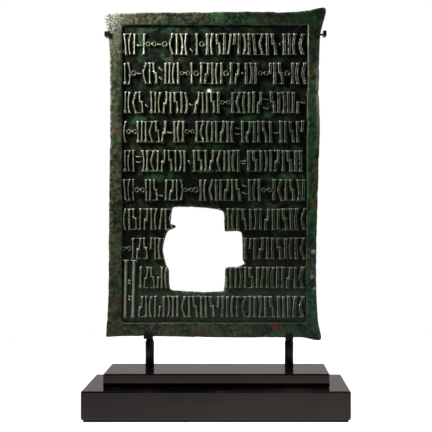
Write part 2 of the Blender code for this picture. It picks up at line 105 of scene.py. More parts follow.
# Each row's left and right end, and its rhythm of strokes
ROWS = (
    (-96.6, 88.6, "!(|=|8-o<|)(=|o|(:|/'|)|!<|:.||(<"),
    (-97.0, 91.4, "|)o-<|:=||(|8|o|;|(|o|;.|)|8'|:o|(<"),
    (-96.6, 90.6, "|(<:=||(;|:|)=;||:|8|<(||;=:|)||,-"),
    (-96.8, 89.6, "(8|||<:;=|(|8|<(||;|(=|;||:|=||:|'"),
    (-96.8, 87.8, "|(|=)|<|;:|)|=|:|;<||(|=|:|)|;|:||"),
    (-97.2, 90.8, "!(|8||:=|;|)8o|(<||;|:=|(|8|<|:)|"),
    (-97.0, 90.6, "(|:|;|(/|<|;|||:|)|,|(|:|)|;||:|(<"),
    (-95.8, 90.0, "8|;:'|(|:|/)||<|||:|,;|'|;||:|(|<"),
    (-80.6, 88.8, "|;:,|(||<|;||)'||:||)|:|/|(||;|<"),
    (-80.6, 88.8, ";|(|,|)||<|:||:'||(|<||)|:|||/<"),
)

# What each sign draws: its share of the row and its bars. A bar has its place beside the sign's
# middle, its lowest and highest point, and how far its head leans, its middle bows and its middle
# kinks, all as shares of the row's height. The signs with no bar are one or two slanting rungs, a dot, a
# pellet, a pair of pellets and a dash
STROKE_KIT = {
    "|": (1.0, ((0.0, 0.0, 1.0, 0.0, 0.0, 0.0),)),
    "(": (1.1, ((-0.012, 0.0, 1.0, 0.01, -0.075, 0.0),)),
    ")": (1.1, ((0.012, 0.0, 1.0, -0.01, 0.075, 0.0),)),
    "/": (1.2, ((0.0, 0.0, 1.0, 0.10, 0.0, 0.0),)),
    "!": (1.2, ((0.0, 0.0, 1.0, -0.10, 0.0, 0.0),)),
    "<": (1.6, ((0.0, 0.0, 1.0, 0.0, 0.0, -0.16),)),
    "'": (0.95, ((0.005, 0.46, 1.0, 0.03, 0.0, 0.0),)),
    ",": (0.95, ((0.005, 0.0, 0.54, 0.03, 0.0, 0.0),)),
    ":": (1.65, ((-0.052, 0.48, 1.0, -0.05, -0.02, 0.0), (0.055, 0.0, 0.58, -0.06, 0.02, 0.0))),
    ";": (1.65, ((0.055, 0.40, 1.0, 0.06, 0.02, 0.0), (-0.052, 0.0, 0.52, 0.05, -0.02, 0.0))),
    "=": (1.3, ()),
    ".": (0.8, ()),
    "o": (1.3, ()),
    "8": (2.3, ()),
    "-": (1.4, ()),
}
UPRIGHT_SIGNS = "|()/!<:;"

# Two tall bars at the left of the last two rows, with short dashes between them
TALL_BARS_X = (-96.4, -88.0)
TALL_BARS_LEAN = 1.2
TALL_BARS_TOP = 160.8
TALL_BARS_FOOT = 99.2
TALL_BAR_RIDGE = 0.85  # how far a tall bar's whole top is worn, and not only its outline
TALL_BARS_HEAD = 3.4  # half of the short bar across each one's head
TALL_BARS_KNOB = 2.6
TALL_DASH_HEIGHTS = (138.9, 136.0, 122.1, 119.0)
TALL_DASH_LENGTH = 3.0  # short, so that the dashes stand clear of both bars and form no sign with them
LYING = -math.pi / 2

TIP_LENGTH = 1.3  # how far a worn end reaches along a stroke
PELLET_WEAR = 0.62
PAINTED_RIGHT_FLANK_SHADE = 0.62  # how much dimmer a wide stroke's worn line is painted along its right side, as shade away from the light
WORN_LINE_DEPTH = 0.42  # how far inside a stroke's outline the line of wear runs
WORN_LINE_SPREAD = 0.29
WORN_LINE_STRENGTH = 1.12
LIP_WEAR = (0.16, 0.62)  # of the border's inner lip, at its foot and its top
RIGHT_LIP_HIGHLIGHT = 1.6  # how much brighter the right lip's worn line is painted beside the first rows: a painted highlight where the key light falls on it
RIGHT_LIP_HIGHLIGHT_FROM = (80.0, 330.0)  # X and Z from which it is
HOLLOW_SPREAD = 1.9  # how widely the relief is smoothed to find its hollows, and then its crests
CREST_SPREAD = 1.1
RASTER_LOW, RASTER_HIGH = (-126.0, 68.0), (124.0, 434.0)
RASTER_STEP = 0.5
# Unevenness of the front and the back: each layer's depth, the size of its lumps and its seed
FRONT_UNEVENNESS = ((0.30, 24.0, 41), (0.14, 7.0, 42), (0.08, 3.0, 43))
BACK_UNEVENNESS = ((0.25, 30.0, 62), (0.10, 8.0, 63))
PIT_COUNT = 150
PITS_IN_FIELD = 0.12  # how many of the pits that would lie in the field are kept

# Sampling of the plaque's surface
GRID_LOW, GRID_HIGH = (-120.0, 74.0), (118.0, 428.0)
GRID_JITTER = 0.22
LINE_SPACING = 0.866  # of a grid's lines, as a share of its step
# Of the rim, the loss and the hole: step, passes of softening, bites' depth and size, and seed
LOOP_WEAR = ((1.5, 3, 0.8, 7.0, 11), (1.2, 1, 0.5, 4.0, 12), (0.7, 0, 0.3, 2.0, 13))
BORDER_STEP = 1.5
GRID_STEP = 1.8
BACK_STEP = 5.0
MIN_SPACING = 0.11  # between points of the strokes
RIM_RING_INSETS = (0.25, 0.7, 1.3, 2.0)
BORDER_RING_INSETS = (-0.35, 0.0, 0.14, 0.4, 0.75, 1.3)
SIDE_SHARES = (0.22, 0.48, 0.74, 1.0)  # of the way back along the plaque's sides
BACK_INSET = 0.6  # how far the back's outlines lie within the front's
BACK_ROUNDING = 0.7  # how far in front of the back the sides end
PROFILE_INSETS = (0.0, 0.13, 0.36, 0.68, 1.1)  # of a bar's lines of points from its sides
TIP_STATIONS = (0.0, 0.14, 0.42, 0.9, 1.8)  # and from its ends
PELLET_RINGS = (  # inset, number of points
    (0.0, 20), (0.14, 20), (0.4, 18), (0.8, 16), (1.25, 12), (1.8, 9), (2.25, 5),
)
PIT_RINGS = ((0.55, 6), (1.0, 8))  # share of the radius, number of points
BAR_STEP = 2.7

# Plinth and mount, in metres
FOOT_HEIGHT = 1.8 * MM
FOOT_INSET = 2.4 * MM
LOWER_EDGE_ROUNDING = 3.6 * MM
ARRIS = 1.5 * MM
ROLL_OFF = 0.5 * MM  # how far the upper slab's sides are polished back at their foot
ROLL_OFF_HEIGHT = 5.0 * MM
SLAB_CORNER = 1.9 * MM
SMALLEST_CORNER = 0.15 * MM
CORNER_STEPS = 4
EDGE_STEPS = 5
MATT_TOP = FOOT_HEIGHT + 0.2 * MM  # Z of the foot's matt faces, and of the rounding's first one
POST_SHOULDER_TOP = 75.4 * MM
POST_NECK_SHARE = 0.82  # of the post's radius
POST_CHAMFER = 0.25 * MM
POST_SIDES = 64
HOOK_THICKNESS = 2.2 * MM
HOOK_ROUNDING = 0.45 * MM
FLAT_BAR_ROUNDING = 0.5 * MM

Bar = namedtuple("Bar", "x z half_length turn sway bow kink waist end rise shoulder groove")
Pellet = namedtuple("Pellet", "x z radius rise dimple")
Pit = namedtuple("Pit", "x z radius depth")
Work = namedtuple("Work", "strokes height worn core")

# Wear: a scratch near the upper left corner and three nicks along the border's lower inner edge
CUTS = (
    Bar(-103.3, 396.0, 3.9, math.radians(-58), 0, 0.4, 0, 0.3, 0.3, 0.7, 0.6, 0),
    Bar(-96.2, 92.2, 2.8, LYING, 0, 0, 0, 0.45, 0.3, 0.9, 0.8, 0),
    Bar(-86.4, 92.4, 2.4, LYING, 0, 0, 0, 0.45, 0.3, 0.9, 0.8, 0),
    Bar(-75.0, 92.3, 2.6, LYING, 0, 0, 0, 0.45, 0.3, 0.9, 0.8, 0),
)
RUST_SPOTS = (  # x, z, radius
    (-108.0, 297.0, 2.6), (106.0, 297.0, 3.0), (102.5, 217.0, 2.6), (61.0, 91.6, 4.0), (66.5, 91.0, 2.2),
    (30.0, 88.0, 2.4), (-104.5, 118.0, 2.6), (-20.0, 86.0, 3.0),
)
PALE_CHIPS = ((101.2, 169.4, 2.3), (99.8, 142.9, 2.1), (103.4, 131.0, 1.6), (-98.0, 380.0, 1.6))
# The pale crust at the upper left corner, which also paints glints there: X and Z of the rim there, and of
# the crust's ends
CRUST_AND_GLINT_RIM = (-114.4, 420.0)
CRUST_AND_GLINT_ENDS = (-81.4, 366.0)
# The right rim is swollen along a stretch of its upper half, and painted pale there as a highlight
SWOLLEN_RIM_BULGE = 1.3
SWOLLEN_RIM_MIDDLE = 332.0  # Z
SWOLLEN_RIM_SPREAD = 34.0
SWOLLEN_RIM_SIDE = 60.0  # X beyond which it counts
SWOLLEN_RIM_FADE = 30.0
# width and strength of the painted highlight along that stretch of the rim
RIM_LIGHT_WIDTH = 2.4
RIM_LIGHT_SHARE = 1.1
# Broad patches of the patina
OCHRE_PATCHES = (  # x, z, half width, half height
    (-62, 414, 13, 5), (-20, 414, 16, 5), (-60, 86, 16, 7), (-18, 86, 22, 6), (24, 87, 14, 6),
    (-110, 330, 5, 42), (-112.5, 210, 4, 55), (-112, 110, 4.5, 26), (103, 240, 5, 24), (60, 414, 12, 4),
    (66, 218.5, 26, 4.5),
)
VERDIGRIS_PATCHES = (
    (-84, 388, 16, 13), (-60, 368, 12, 8), (-80, 305, 14, 7), (92, 232, 6, 24), (75, 250, 18, 9),
    (100, 340, 5, 40), (60, 120, 34, 10), (30, 412, 12, 4), (62, 218, 36, 5), (-66, 403.5, 40, 3.6),
    (-52, 374, 20, 4.5), (-4, 343, 16, 4), (20, 405, 22, 3), (-103, 160, 4, 36), (-104, 245, 3.5, 18),
    (30, 97.5, 70, 4), (-10, 282, 18, 4), (-64, 250, 16, 4), (44, 312, 18, 4),
)

# Colours of the patina, some of which also paint light or shade, as their comments say. A pair holds the two
# ends between which it varies
GREENS = ((0.004, 0.012, 0.005), (0.018, 0.060, 0.024))
VERDIGRIS_GREEN = (0.021, 0.080, 0.034)
BROWNS = ((0.020, 0.017, 0.008), (0.074, 0.060, 0.032))
DARK_FLECK = (0.004, 0.006, 0.003)
LIGHT_FLECK = (0.085, 0.120, 0.068)
RUST = (0.105, 0.030, 0.017)
# painted shade towards the upper right, where less light falls
PAINTED_CORNER_SHADE = (0.004, 0.010, 0.004)
GREEN_TOPS = ((0.016, 0.034, 0.017), (0.056, 0.112, 0.050))
BROWN_TOPS = ((0.020, 0.018, 0.010), (0.090, 0.085, 0.056))
LOWER_RIGHT_TOPS = (0.026, 0.068, 0.038)
# darker tops at the upper right: painted shade
SHADED_UPPER_RIGHT_TOPS = (0.007, 0.015, 0.008)
# painted shade in the middles of the wide strokes' tops
PAINTED_TOP_SHADE = (0.003, 0.006, 0.003)
# lighter field at the foot: teal patina, and painted light from below
BLOOM_AND_LIGHT = (0.036, 0.062, 0.036)
# dirt in the field, and painted shade in its hollows
DIRT_AND_SHADE = (0.0018, 0.0024, 0.0014)
WORN_METAL = ((0.25, 0.31, 0.19), (0.84, 0.82, 0.63))
# pale crust and chips, and painted glints and rim light
PALE_CRUST_AND_LIGHT = (0.42, 0.42, 0.35)

# The plinth's gloss, with Z in metres. Its base colour is lighter in cloudy patches, towards the right and
# on the lower slab, as haze and as a painted sheen
BLACK_TO_PAINTED_SHEEN = ((0.0016, 0.0013, 0.0012), (0.0240, 0.0200, 0.0180))
DUST = (0.06, 0.055, 0.05)
# a pale line painted along the joint between the slabs
JOINT_PALE_LINE = (0.16, 0.15, 0.14)
JOINT_HEIGHT = 0.0318  # Z of the joint between the slabs
PAINTED_SHEEN_CHANGE = (0.0310, 0.0330)  # Z over which the lower slab's painted sheen gives way to the upper one's weaker one

# Studio, in metres and watts. Each panel has a name, place, target, size and power
PANELS = (
    ("Key", (-0.30, -0.125, 0.56), (0.0, 0.0, 0.30), (0.10, 0.16), 4.8),
    ("Fill", (0.50, -0.17, 0.32), (0.0, 0.0, 0.25), (0.15, 0.35), 0.6),
    ("Bounce", (0.0, -0.42, 0.03), (0.0, 0.0, 0.15), (0.5, 0.2), 0.35),
)
WASH_STRENGTH = 1.75
POOL_MIDDLE = (0.12, 0.30)
POOL_HEIGHT = 1.3
POOL_POWER = 87.0
POOL_CONE = math.radians(76)
FLOOR_RADIUS = 0.75
FLOOR_HEIGHT = -0.0002
WORLD_CHANGE = (0.1, 0.7)  # Y of a direction, from the dark side of the world to the light one
WORLD_STRENGTH = (0.02, 0.40)
WORLD_TINT = (1.0, 0.88, 0.85, 1.0)
CAMERA_PLACE = (0.0285, -1.139, 0.2104)
CAMERA_SHIFT = (-0.0655, -0.0082)


# ---------------- numbers


def ease(share):
    share = np.clip(share, 0.0, 1.0)
    return share * share * (3 - 2 * share)


def fade(value, start, reach):
    """0 before the start, and 1 from start + reach on, which may lie below it."""
    return ease((value - start) / reach)


def bell(distance, spread):
    return np.exp(-((distance / spread) ** 2))


def decay(distance, reach):
    return np.exp(-np.maximum(distance, 0.0) / reach)


def between(ends, share):
    return ends[0] + (ends[1] - ends[0]) * share


def circle(x, z, radius, count, start):
    """Points round a circle, the first one turned by start steps."""
    turns = [math.tau * (step + start) / count for step in range(count)]
    return [(x + radius * math.cos(turn), z + radius * math.sin(turn)) for turn in turns]


def soft_min(a, b, blend):
    share = np.clip(0.5 + 0.5 * (b - a) / blend, 0.0, 1.0)
    return b * (1 - share) + a * share - blend * share * (1 - share)


def blended(image, column, row, right, above, s, t):
    """An image's values between four of its places, at shares s and t of the way."""
    low = image[column, row] * (1 - s) + image[right, row] * s
    high = image[column, above] * (1 - s) + image[right, above] * s
    return low * (1 - t) + high * t


def lumps(x, z, size, seed):
    """Smooth noise between -1 and 1, with lumps about size across."""
    side = 64
    lattice = np.random.default_rng(seed).uniform(-1, 1, (side, side))
    across, up = np.asarray(x) / size, np.asarray(z) / size
    column, row = np.floor(across).astype(int), np.floor(up).astype(int)
    s, t = ease(across - column), ease(up - row)
    column, row = column % side, row % side
    return blended(lattice, column, row, (column + 1) % side, (row + 1) % side, s, t)


def unevenness(x, z, layers):
    """How far a surface lies below its highest points, from layers of lumps."""
    return sum(depth * (0.5 + 0.5 * lumps(x, z, size, seed)) for depth, size, seed in layers)


def wobble(row, index):
    """A small repeatable unevenness between -1 and 1."""
    return math.sin(12.9898 * index + 4.137 * row + 0.7 * row * index)


# ---------------- outlines of the plaque


def plate_loops(node):
    """The closed outlines of a plate's flat back, the rim first. The metal lies on their right."""
    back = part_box(node.name)[1].y
    edges = set()
    for polygon in node.data.polygons:
        corners = [node.data.vertices[index].co for index in polygon.vertices]
        if min(corner.y for corner in corners) < back - 0.01 * MM:
            continue
        keys = [(round(corner.x / MM, 3), round(corner.z / MM, 3)) for corner in corners]
        for start, end in zip(keys, keys[1:] + keys[:1]):
            if (end, start) in edges:
                edges.remove((end, start))
            else:
                edges.add((start, end))
    following = dict(edges)
    loops = []
    while following:
        loop = [min(following)]
        while loop[-1] in following:
            loop.append(following.pop(loop[-1]))
        loops.append(loop[:-1])
    return sorted(loops, key=len, reverse=True)


def resampled(loop, step):
    corners = np.array(loop + loop[:1])
    lengths = np.hypot(*np.diff(corners, axis=0).T)
    along = np.concatenate([[0.0], np.cumsum(lengths)])
    count = max(16, round(along[-1] / step))
    places = np.arange(count) * along[-1] / count
    return np.stack([np.interp(places, along, corners[:, axis]) for axis in (0, 1)], axis=1)


def softened(loop, passes):
    for _ in range(passes):
        loop = (np.roll(loop, 1, 0) + 2 * loop + np.roll(loop, -1, 0)) / 4
    return loop


def into_metal(loop):
    """Unit vectors from a loop's points into the metal beside it."""
    along = np.roll(loop, -1, 0) - np.roll(loop, 1, 0)
    along /= np.hypot(along[:, 0], along[:, 1])[:, None]
    return np.stack([along[:, 1], -along[:, 0]], axis=1)


def nibbled(loop, depth, size, seed):
    """The loop with small bites taken out of the metal."""
    bites = np.maximum(lumps(loop[:, 0], loop[:, 1], size, seed), 0.0) ** 2
    return loop + into_metal(loop) * (depth * bites)[:, None]


def swollen_rim(x, z):
    """How far each point lies within the right rim's swollen stretch."""
    along = bell(z - SWOLLEN_RIM_MIDDLE, SWOLLEN_RIM_SPREAD)
    return fade(x, SWOLLEN_RIM_SIDE, SWOLLEN_RIM_FADE) * along


def plaque_loops():
    """The rim, the loss and the small hole."""
    loops = []
    found = plate_loops(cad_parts["plaque"])
    for loop, (step, passes, depth, size, seed) in zip(found, LOOP_WEAR, strict=True):
        loops.append(nibbled(softened(resampled(loop, step), passes), depth, size, seed))
    rim = loops[0]
    rim[:, 0] += SWOLLEN_RIM_BULGE * swollen_rim(rim[:, 0], rim[:, 1])
    return loops


def inside(loop, x, z):
    """Whether each point lies inside a closed loop."""
    crossings = np.zeros(len(x), dtype=int)
    for (x0, z0), (x1, z1) in zip(loop, np.roll(loop, -1, 0)):
        spans = (z0 > z) != (z1 > z)
        level = z1 - z0 if z1 != z0 else 1.0
        crossings += spans & (x < x0 + (z - z0) / level * (x1 - x0))
    return crossings % 2 == 1


def in_outline(loops, x, z):
    """Whether each point lies inside the rim and outside every opening."""
    good = inside(loops[0], x, z)
    for opening in loops[1:]:
        good &= ~inside(opening, x, z)
    return good


def near(x, z, middle_x, middle_z, reach_x, reach_z):
    """Indices of the points in a box round a middle."""
    return np.flatnonzero((np.abs(x - middle_x) < reach_x) & (np.abs(z - middle_z) < reach_z))


def distance_to(loop, x, z, reach):
    """Distance from each point to a closed loop, exact where it is under reach."""
    found = np.full(len(x), 2 * reach)
    for start, end in zip(loop, np.roll(loop, -1, 0)):
        here = near(x, z, *(start + end) / 2, reach + 1.0, reach + 1.0)
        if not len(here):
            continue
        side = end - start
        px, pz = x[here] - start[0], z[here] - start[1]
        share = np.clip((px * side[0] + pz * side[1]) / (side @ side), 0.0, 1.0)
        found[here] = np.minimum(found[here], np.hypot(px - share * side[0], pz - share * side[1]))
    return found


# ---------------- strokes


def row_strokes():
    """The rows' bars, pellets and the low ledges that join some of the bars' heads and feet."""
    bars, pellets, ledges = [], [], []
    for row, (left, right, rhythm) in enumerate(ROWS):
        last = len(rhythm) - 1
        shares = [STROKE_KIT[sign][0] * (1 + PITCH_GROWTH * i / last) for i, sign in enumerate(rhythm)]
        unit = (right - left) / (sum(shares) - (shares[0] + shares[-1]) / 2)
        row_foot = FIRST_ROW_TOP - row * ROW_PITCH - ROW_HEIGHT
        x = left - shares[0] / 2 * unit
        heads = []
        for index, sign in enumerate(rhythm):
            centre = x + shares[index] / 2 * unit
            x += shares[index] * unit
            heads.append(centre)
            middle = row_foot + ROW_HEIGHT / 2
            uneven = 0.95 + 0.05 * wobble(row, index)
            if sign == "o":
                pellets.append(Pellet(centre, middle, PELLET_RADIUS * uneven, STROKE_RISE, DIMPLE_DEPTH))
            elif sign == "8":
                radius = TWIN_PELLET_RADIUS * uneven
                for x_twin in (centre - TWIN_OFFSET, centre + TWIN_OFFSET):
                    pellets.append(Pellet(x_twin, middle, radius, STROKE_RISE, DIMPLE_DEPTH))
                bars.append(plain_bar(centre, middle + 0.8, LINK_REACH, LYING, DASH_RISE))
            elif sign == ".":
                pellets.append(Pellet(centre, middle, DOT_RADIUS, DASH_RISE, 0))
            elif sign == "-":
                bars.append(plain_bar(centre, middle, DASH_LENGTH / 2, LYING, DASH_RISE))
            elif sign == "=":
                bars += rungs(row, index, centre, row_foot, shares[index] * unit)
            elif sign == "|" and wobble(row + 1, index + 3) > 0.72:
                z = row_foot + FOOT_RING_RADIUS - 0.4
                pellets.append(Pellet(centre, z, FOOT_RING_RADIUS, STROKE_RISE, DIMPLE_DEPTH))
            for part, shape in enumerate(STROKE_KIT[sign][1]):
                bars.append(row_bar(row, index + 31 * part, centre, row_foot, shape))
        ledges += row_ledges(row, row_foot, rhythm, heads)
    return bars, pellets, ledges


def rungs(row, index, centre, row_foot, room):
    """One or two low slanting rungs in the room between two strokes, no two signs alike."""
    turn = RUNG_TURN + RUNG_SWING * wobble(row + 4, index)
    count = 1 if wobble(index, row + 11) > 0.1 else 2
    bars = []
    for place, share in enumerate(RUNG_HEIGHTS[:count]):
        z = row_foot + (share + 0.12 * wobble(row + place, index)) * ROW_HEIGHT
        half = room * (0.46 + 0.10 * wobble(index, row + place))
        bars.append(plain_bar(centre, z, half, turn, RUNG_RISE))
    return bars


def plain_bar(x, z, half_length, turn, rise):
    return Bar(x, z, half_length, turn, 0.3, 0.4, 0, 0.8, 1.05, rise, 0.9, 0)


def row_bar(row, index, centre, row_foot, shape):
    aside, low, high, lean, bow, kink = [share * ROW_HEIGHT for share in shape]
    progress = (centre - FIELD_LEFT) / (FIELD_RIGHT_TOP - FIELD_LEFT)
    foot = row_foot + low + 0.35 * wobble(row + 9, index)
    top = row_foot + high + 0.35 * wobble(row + 3, index)
    waist = between(BAR_WAIST, progress) * (1 + 0.10 * wobble(index + 5, row))
    return Bar(
        x=centre + aside - (bow + kink) / 2,
        z=(foot + top) / 2,
        half_length=(top - foot) / 2,
        turn=0,
        sway=lean / 2 + BAR_SWAY * wobble(row, index),
        bow=bow,
        kink=kink,
        waist=waist,
        end=waist + between(BAR_FLARE, progress) * (1 + 0.35 * wobble(index, row + 7)),
        rise=STROKE_RISE * (0.97 + 0.06 * wobble(index, row)),
        shoulder=between(BAR_SHOULDER, progress),
        groove=between(GROOVE_DEPTH, progress) if progress + 0.3 * wobble(row, index + 2) > 0.35 else 0.0,
    )


def row_ledges(row, row_foot, rhythm, heads):
    """Low ledges between neighbouring upright strokes, along the row's top and its foot.

    A pair that bows outwards has none, so that no ledge closes it into a letter's shape.
    """
    ledges = []
    for index in range(len(rhythm) - 1):
        if rhythm[index] not in UPRIGHT_SIGNS or rhythm[index + 1] not in UPRIGHT_SIGNS:
            continue
        if rhythm[index] == "(" or rhythm[index + 1] == ")":
            continue
        middle, half = (heads[index] + heads[index + 1]) / 2, (heads[index + 1] - heads[index]) / 2
        heights = []
        if wobble(index, row + 2) > -0.6:
            heights.append(row_foot + ROW_HEIGHT - LEDGE_INSET)
        if wobble(index + 4, row) > 0.15:
            heights.append(row_foot + LEDGE_INSET)
        for z in heights:
            width = LEDGE_HALF_WIDTH
            ledges.append(Bar(middle, z, half, LYING, 0, 0, 0, width, width, LEDGE_RISE, 0.8, 0))
    return ledges


def tall_strokes():
    """Two tall bars with short heads, dashes that join neither, and a knob at the left one's foot."""
    middle = (TALL_BARS_TOP + TALL_BARS_FOOT) / 2
    half = (TALL_BARS_TOP - TALL_BARS_FOOT) / 2
    sway = TALL_BARS_LEAN / 2
    bars = [Bar(x, middle, half, 0, sway, 0, 0, 1.7, 2.8, STROKE_RISE, 1.2, 0) for x in TALL_BARS_X]
    for x in TALL_BARS_X:
        bars.append(plain_bar(x + sway, TALL_BARS_TOP - LEDGE_INSET, TALL_BARS_HEAD, LYING, STROKE_RISE))
    centre = sum(TALL_BARS_X) / 2
    for z in TALL_DASH_HEIGHTS:
        bars.append(plain_bar(centre, z, TALL_DASH_LENGTH / 2, RUNG_TURN, STROKE_RISE))
    foot = TALL_BARS_FOOT + TALL_BARS_KNOB
    knob = Pellet(TALL_BARS_X[0] - sway - 0.4, foot, TALL_BARS_KNOB, STROKE_RISE, 0)
    return bars, [knob]


def bend(bar, along):
    """How far a bar's centre line strays sideways."""
    share = along / bar.half_length
    corner = 1 - np.sqrt(share**2 + KINK_SOFTNESS)
    return bar.sway * share + bar.bow * (1 - share**2) + bar.kink * corner


def bar_frame(bar, x, z):
    """Distances across and along a bar from its bent centre line."""
    cosine, sine = math.cos(bar.turn), math.sin(bar.turn)
    across = (x - bar.x) * cosine + (z - bar.z) * sine
    along = (z - bar.z) * cosine - (x - bar.x) * sine
    return across - bend(bar, along), along


def bar_reach(bar):
    """Half of the box that a bar keeps within, with some room round it."""
    cosine, sine = abs(math.cos(bar.turn)), abs(math.sin(bar.turn))
    side = 2 * bar.end + abs(bar.sway) + abs(bar.bow) + abs(bar.kink) + 2
    length = bar.half_length + 2
    return side * cosine + length * sine, length * cosine + side * sine


def half_width(bar, along):
    """Half of the bar's width, which flares towards both ends."""
    flare = decay(bar.half_length - along, SERIF_REACH) + decay(bar.half_length + along, SERIF_REACH)
    return bar.waist + (bar.end - bar.waist) * flare


def bar_depth(bar, x, z):
    """How far inside a bar's outline each point is."""
    across, along = bar_frame(bar, x, z)
    side = half_width(bar, along) - np.abs(across)
    tip = bar.half_length - np.abs(along)
    return soft_min(side, tip, 0.5)


def bar_height(bar, x, z, depth):
    """Height of a bar's top at each point: rounded shoulders and, on some, a shallow middle groove."""
    height = bar.rise * wall_profile(depth, bar.shoulder)
    if bar.groove:
        across, along = bar_frame(bar, x, z)
        stretch = ease((bar.half_length - np.abs(along)) / 3.0 - 0.6)
        height = height - bar.groove * stretch * np.exp(-((across / groove_width(bar)) ** 4))
    return height


def groove_width(bar):
    return np.interp(bar.groove, GROOVE_DEPTH, GROOVE_WIDTH)


def bar_points(bar):
    """Points in lines that follow a bar's outline, shoulders and crest."""
    tips = np.array([station for station in TIP_STATIONS if station < 0.8 * bar.half_length])
    room = 2 * (bar.half_length - tips[-1])
    count = max(1, round(room / BAR_STEP))
    middle = np.linspace(-room / 2, room / 2, count + 1)[1:-1]
    stations = np.concatenate([tips - bar.half_length, middle, bar.half_length - tips])
    cosine, sine = math.cos(bar.turn), math.sin(bar.turn)
    points = []
    for along in stations:
        width = float(half_width(bar, along))
        insets = [inset for inset in PROFILE_INSETS if inset < width - 0.2]
        offsets = [sign * (width - inset) for inset in insets for sign in (-1, 1)] + [0.0]
        if bar.groove:
            offsets += [-groove_width(bar), groove_width(bar)]
        centre = float(bend(bar, along))
        for offset in offsets:
            across = centre + offset
            x = bar.x + across * cosine - along * sine
            points.append((x, bar.z + across * sine + along * cosine))
    return points


def pellet_points(pellet):
    points = [(pellet.x, pellet.z)]
    for inset, count in PELLET_RINGS:
        if inset < pellet.radius - 0.2:
            points += circle(pellet.x, pellet.z, pellet.radius - inset, count, 0.5 * inset)
    return points


def wall_profile(depth, width=WALL_WIDTH):
    """Share of the full height at a depth inside a raised outline: steep at the foot, then rounded."""
    return 1 - (1 - np.clip(depth / width, 0.0, 1.0)) ** 3


# ---------------- relief


def border_depth(x, z):
    """How far inside the raised border each point is, negative in the field."""
    widening = (FIELD_RIGHT_TOP - FIELD_RIGHT_FOOT) * (z - FIELD_FOOT) / (FIELD_TOP - FIELD_FOOT)
    across = soft_min(x - FIELD_LEFT, FIELD_RIGHT_FOOT + widening - x, 1.0)
    field = soft_min(across, soft_min(FIELD_TOP - z, z - FIELD_FOOT, 1.0), 2.0)
    return -field + 0.35 * lumps(x, z, 16.0, 21) + 0.15 * lumps(x, z, 5.0, 22)


def border_points():
    """Lines of points along the border's inner wall."""
    points = []
    for inset in BORDER_RING_INSETS:
        left, right_top, right_foot = FIELD_LEFT - inset, FIELD_RIGHT_TOP + inset, FIELD_RIGHT_FOOT + inset
        top, foot = FIELD_TOP + inset, FIELD_FOOT - inset
        corners = [(left, top), (right_top, top), (right_foot, foot), (left, foot)]
        points += list(map(tuple, resampled(corners, BORDER_STEP)))
    return points


def scattered_pits():
    """Small corrosion pits, mostly on the border."""
    rng = np.random.default_rng(31)
    pits = []
    while len(pits) < PIT_COUNT:
        x, z = rng.uniform(-114, 110), rng.uniform(80, 422)
        on_border = border_depth(np.array([x]), np.array([z]))[0] > 1.5
        if on_border or rng.uniform() < PITS_IN_FIELD:
            radius = rng.uniform(0.5, 1.5)
            pits.append(Pit(x, z, radius, radius * rng.uniform(0.25, 0.45)))
    return pits


def pit_points(pit):
    points = [(pit.x, pit.z)]
    for share, count in PIT_RINGS:
        points += circle(pit.x, pit.z, pit.radius * share, count, share)
    return points


def worn_line(depth, ridged):
    """Where a stroke's top is worn bright: its ridge or its outline."""
    outline = bell(depth - WORN_LINE_DEPTH, WORN_LINE_SPREAD)
    ridge = 0.36 * fade(depth, 0.10, 0.35) + 0.30 * fade(depth, 0.45, 0.35)
    return outline + (ridge - outline) * ridged


def ridge_share(bar):
    """1 for a stroke whose whole top is worn, and 0 for one that is worn along its outline."""
    is_tall = bar.half_length > ROW_HEIGHT
    return max(fade(bar.waist, 1.45, -0.4), TALL_BAR_RIDGE * is_tall * (bar.turn == 0))


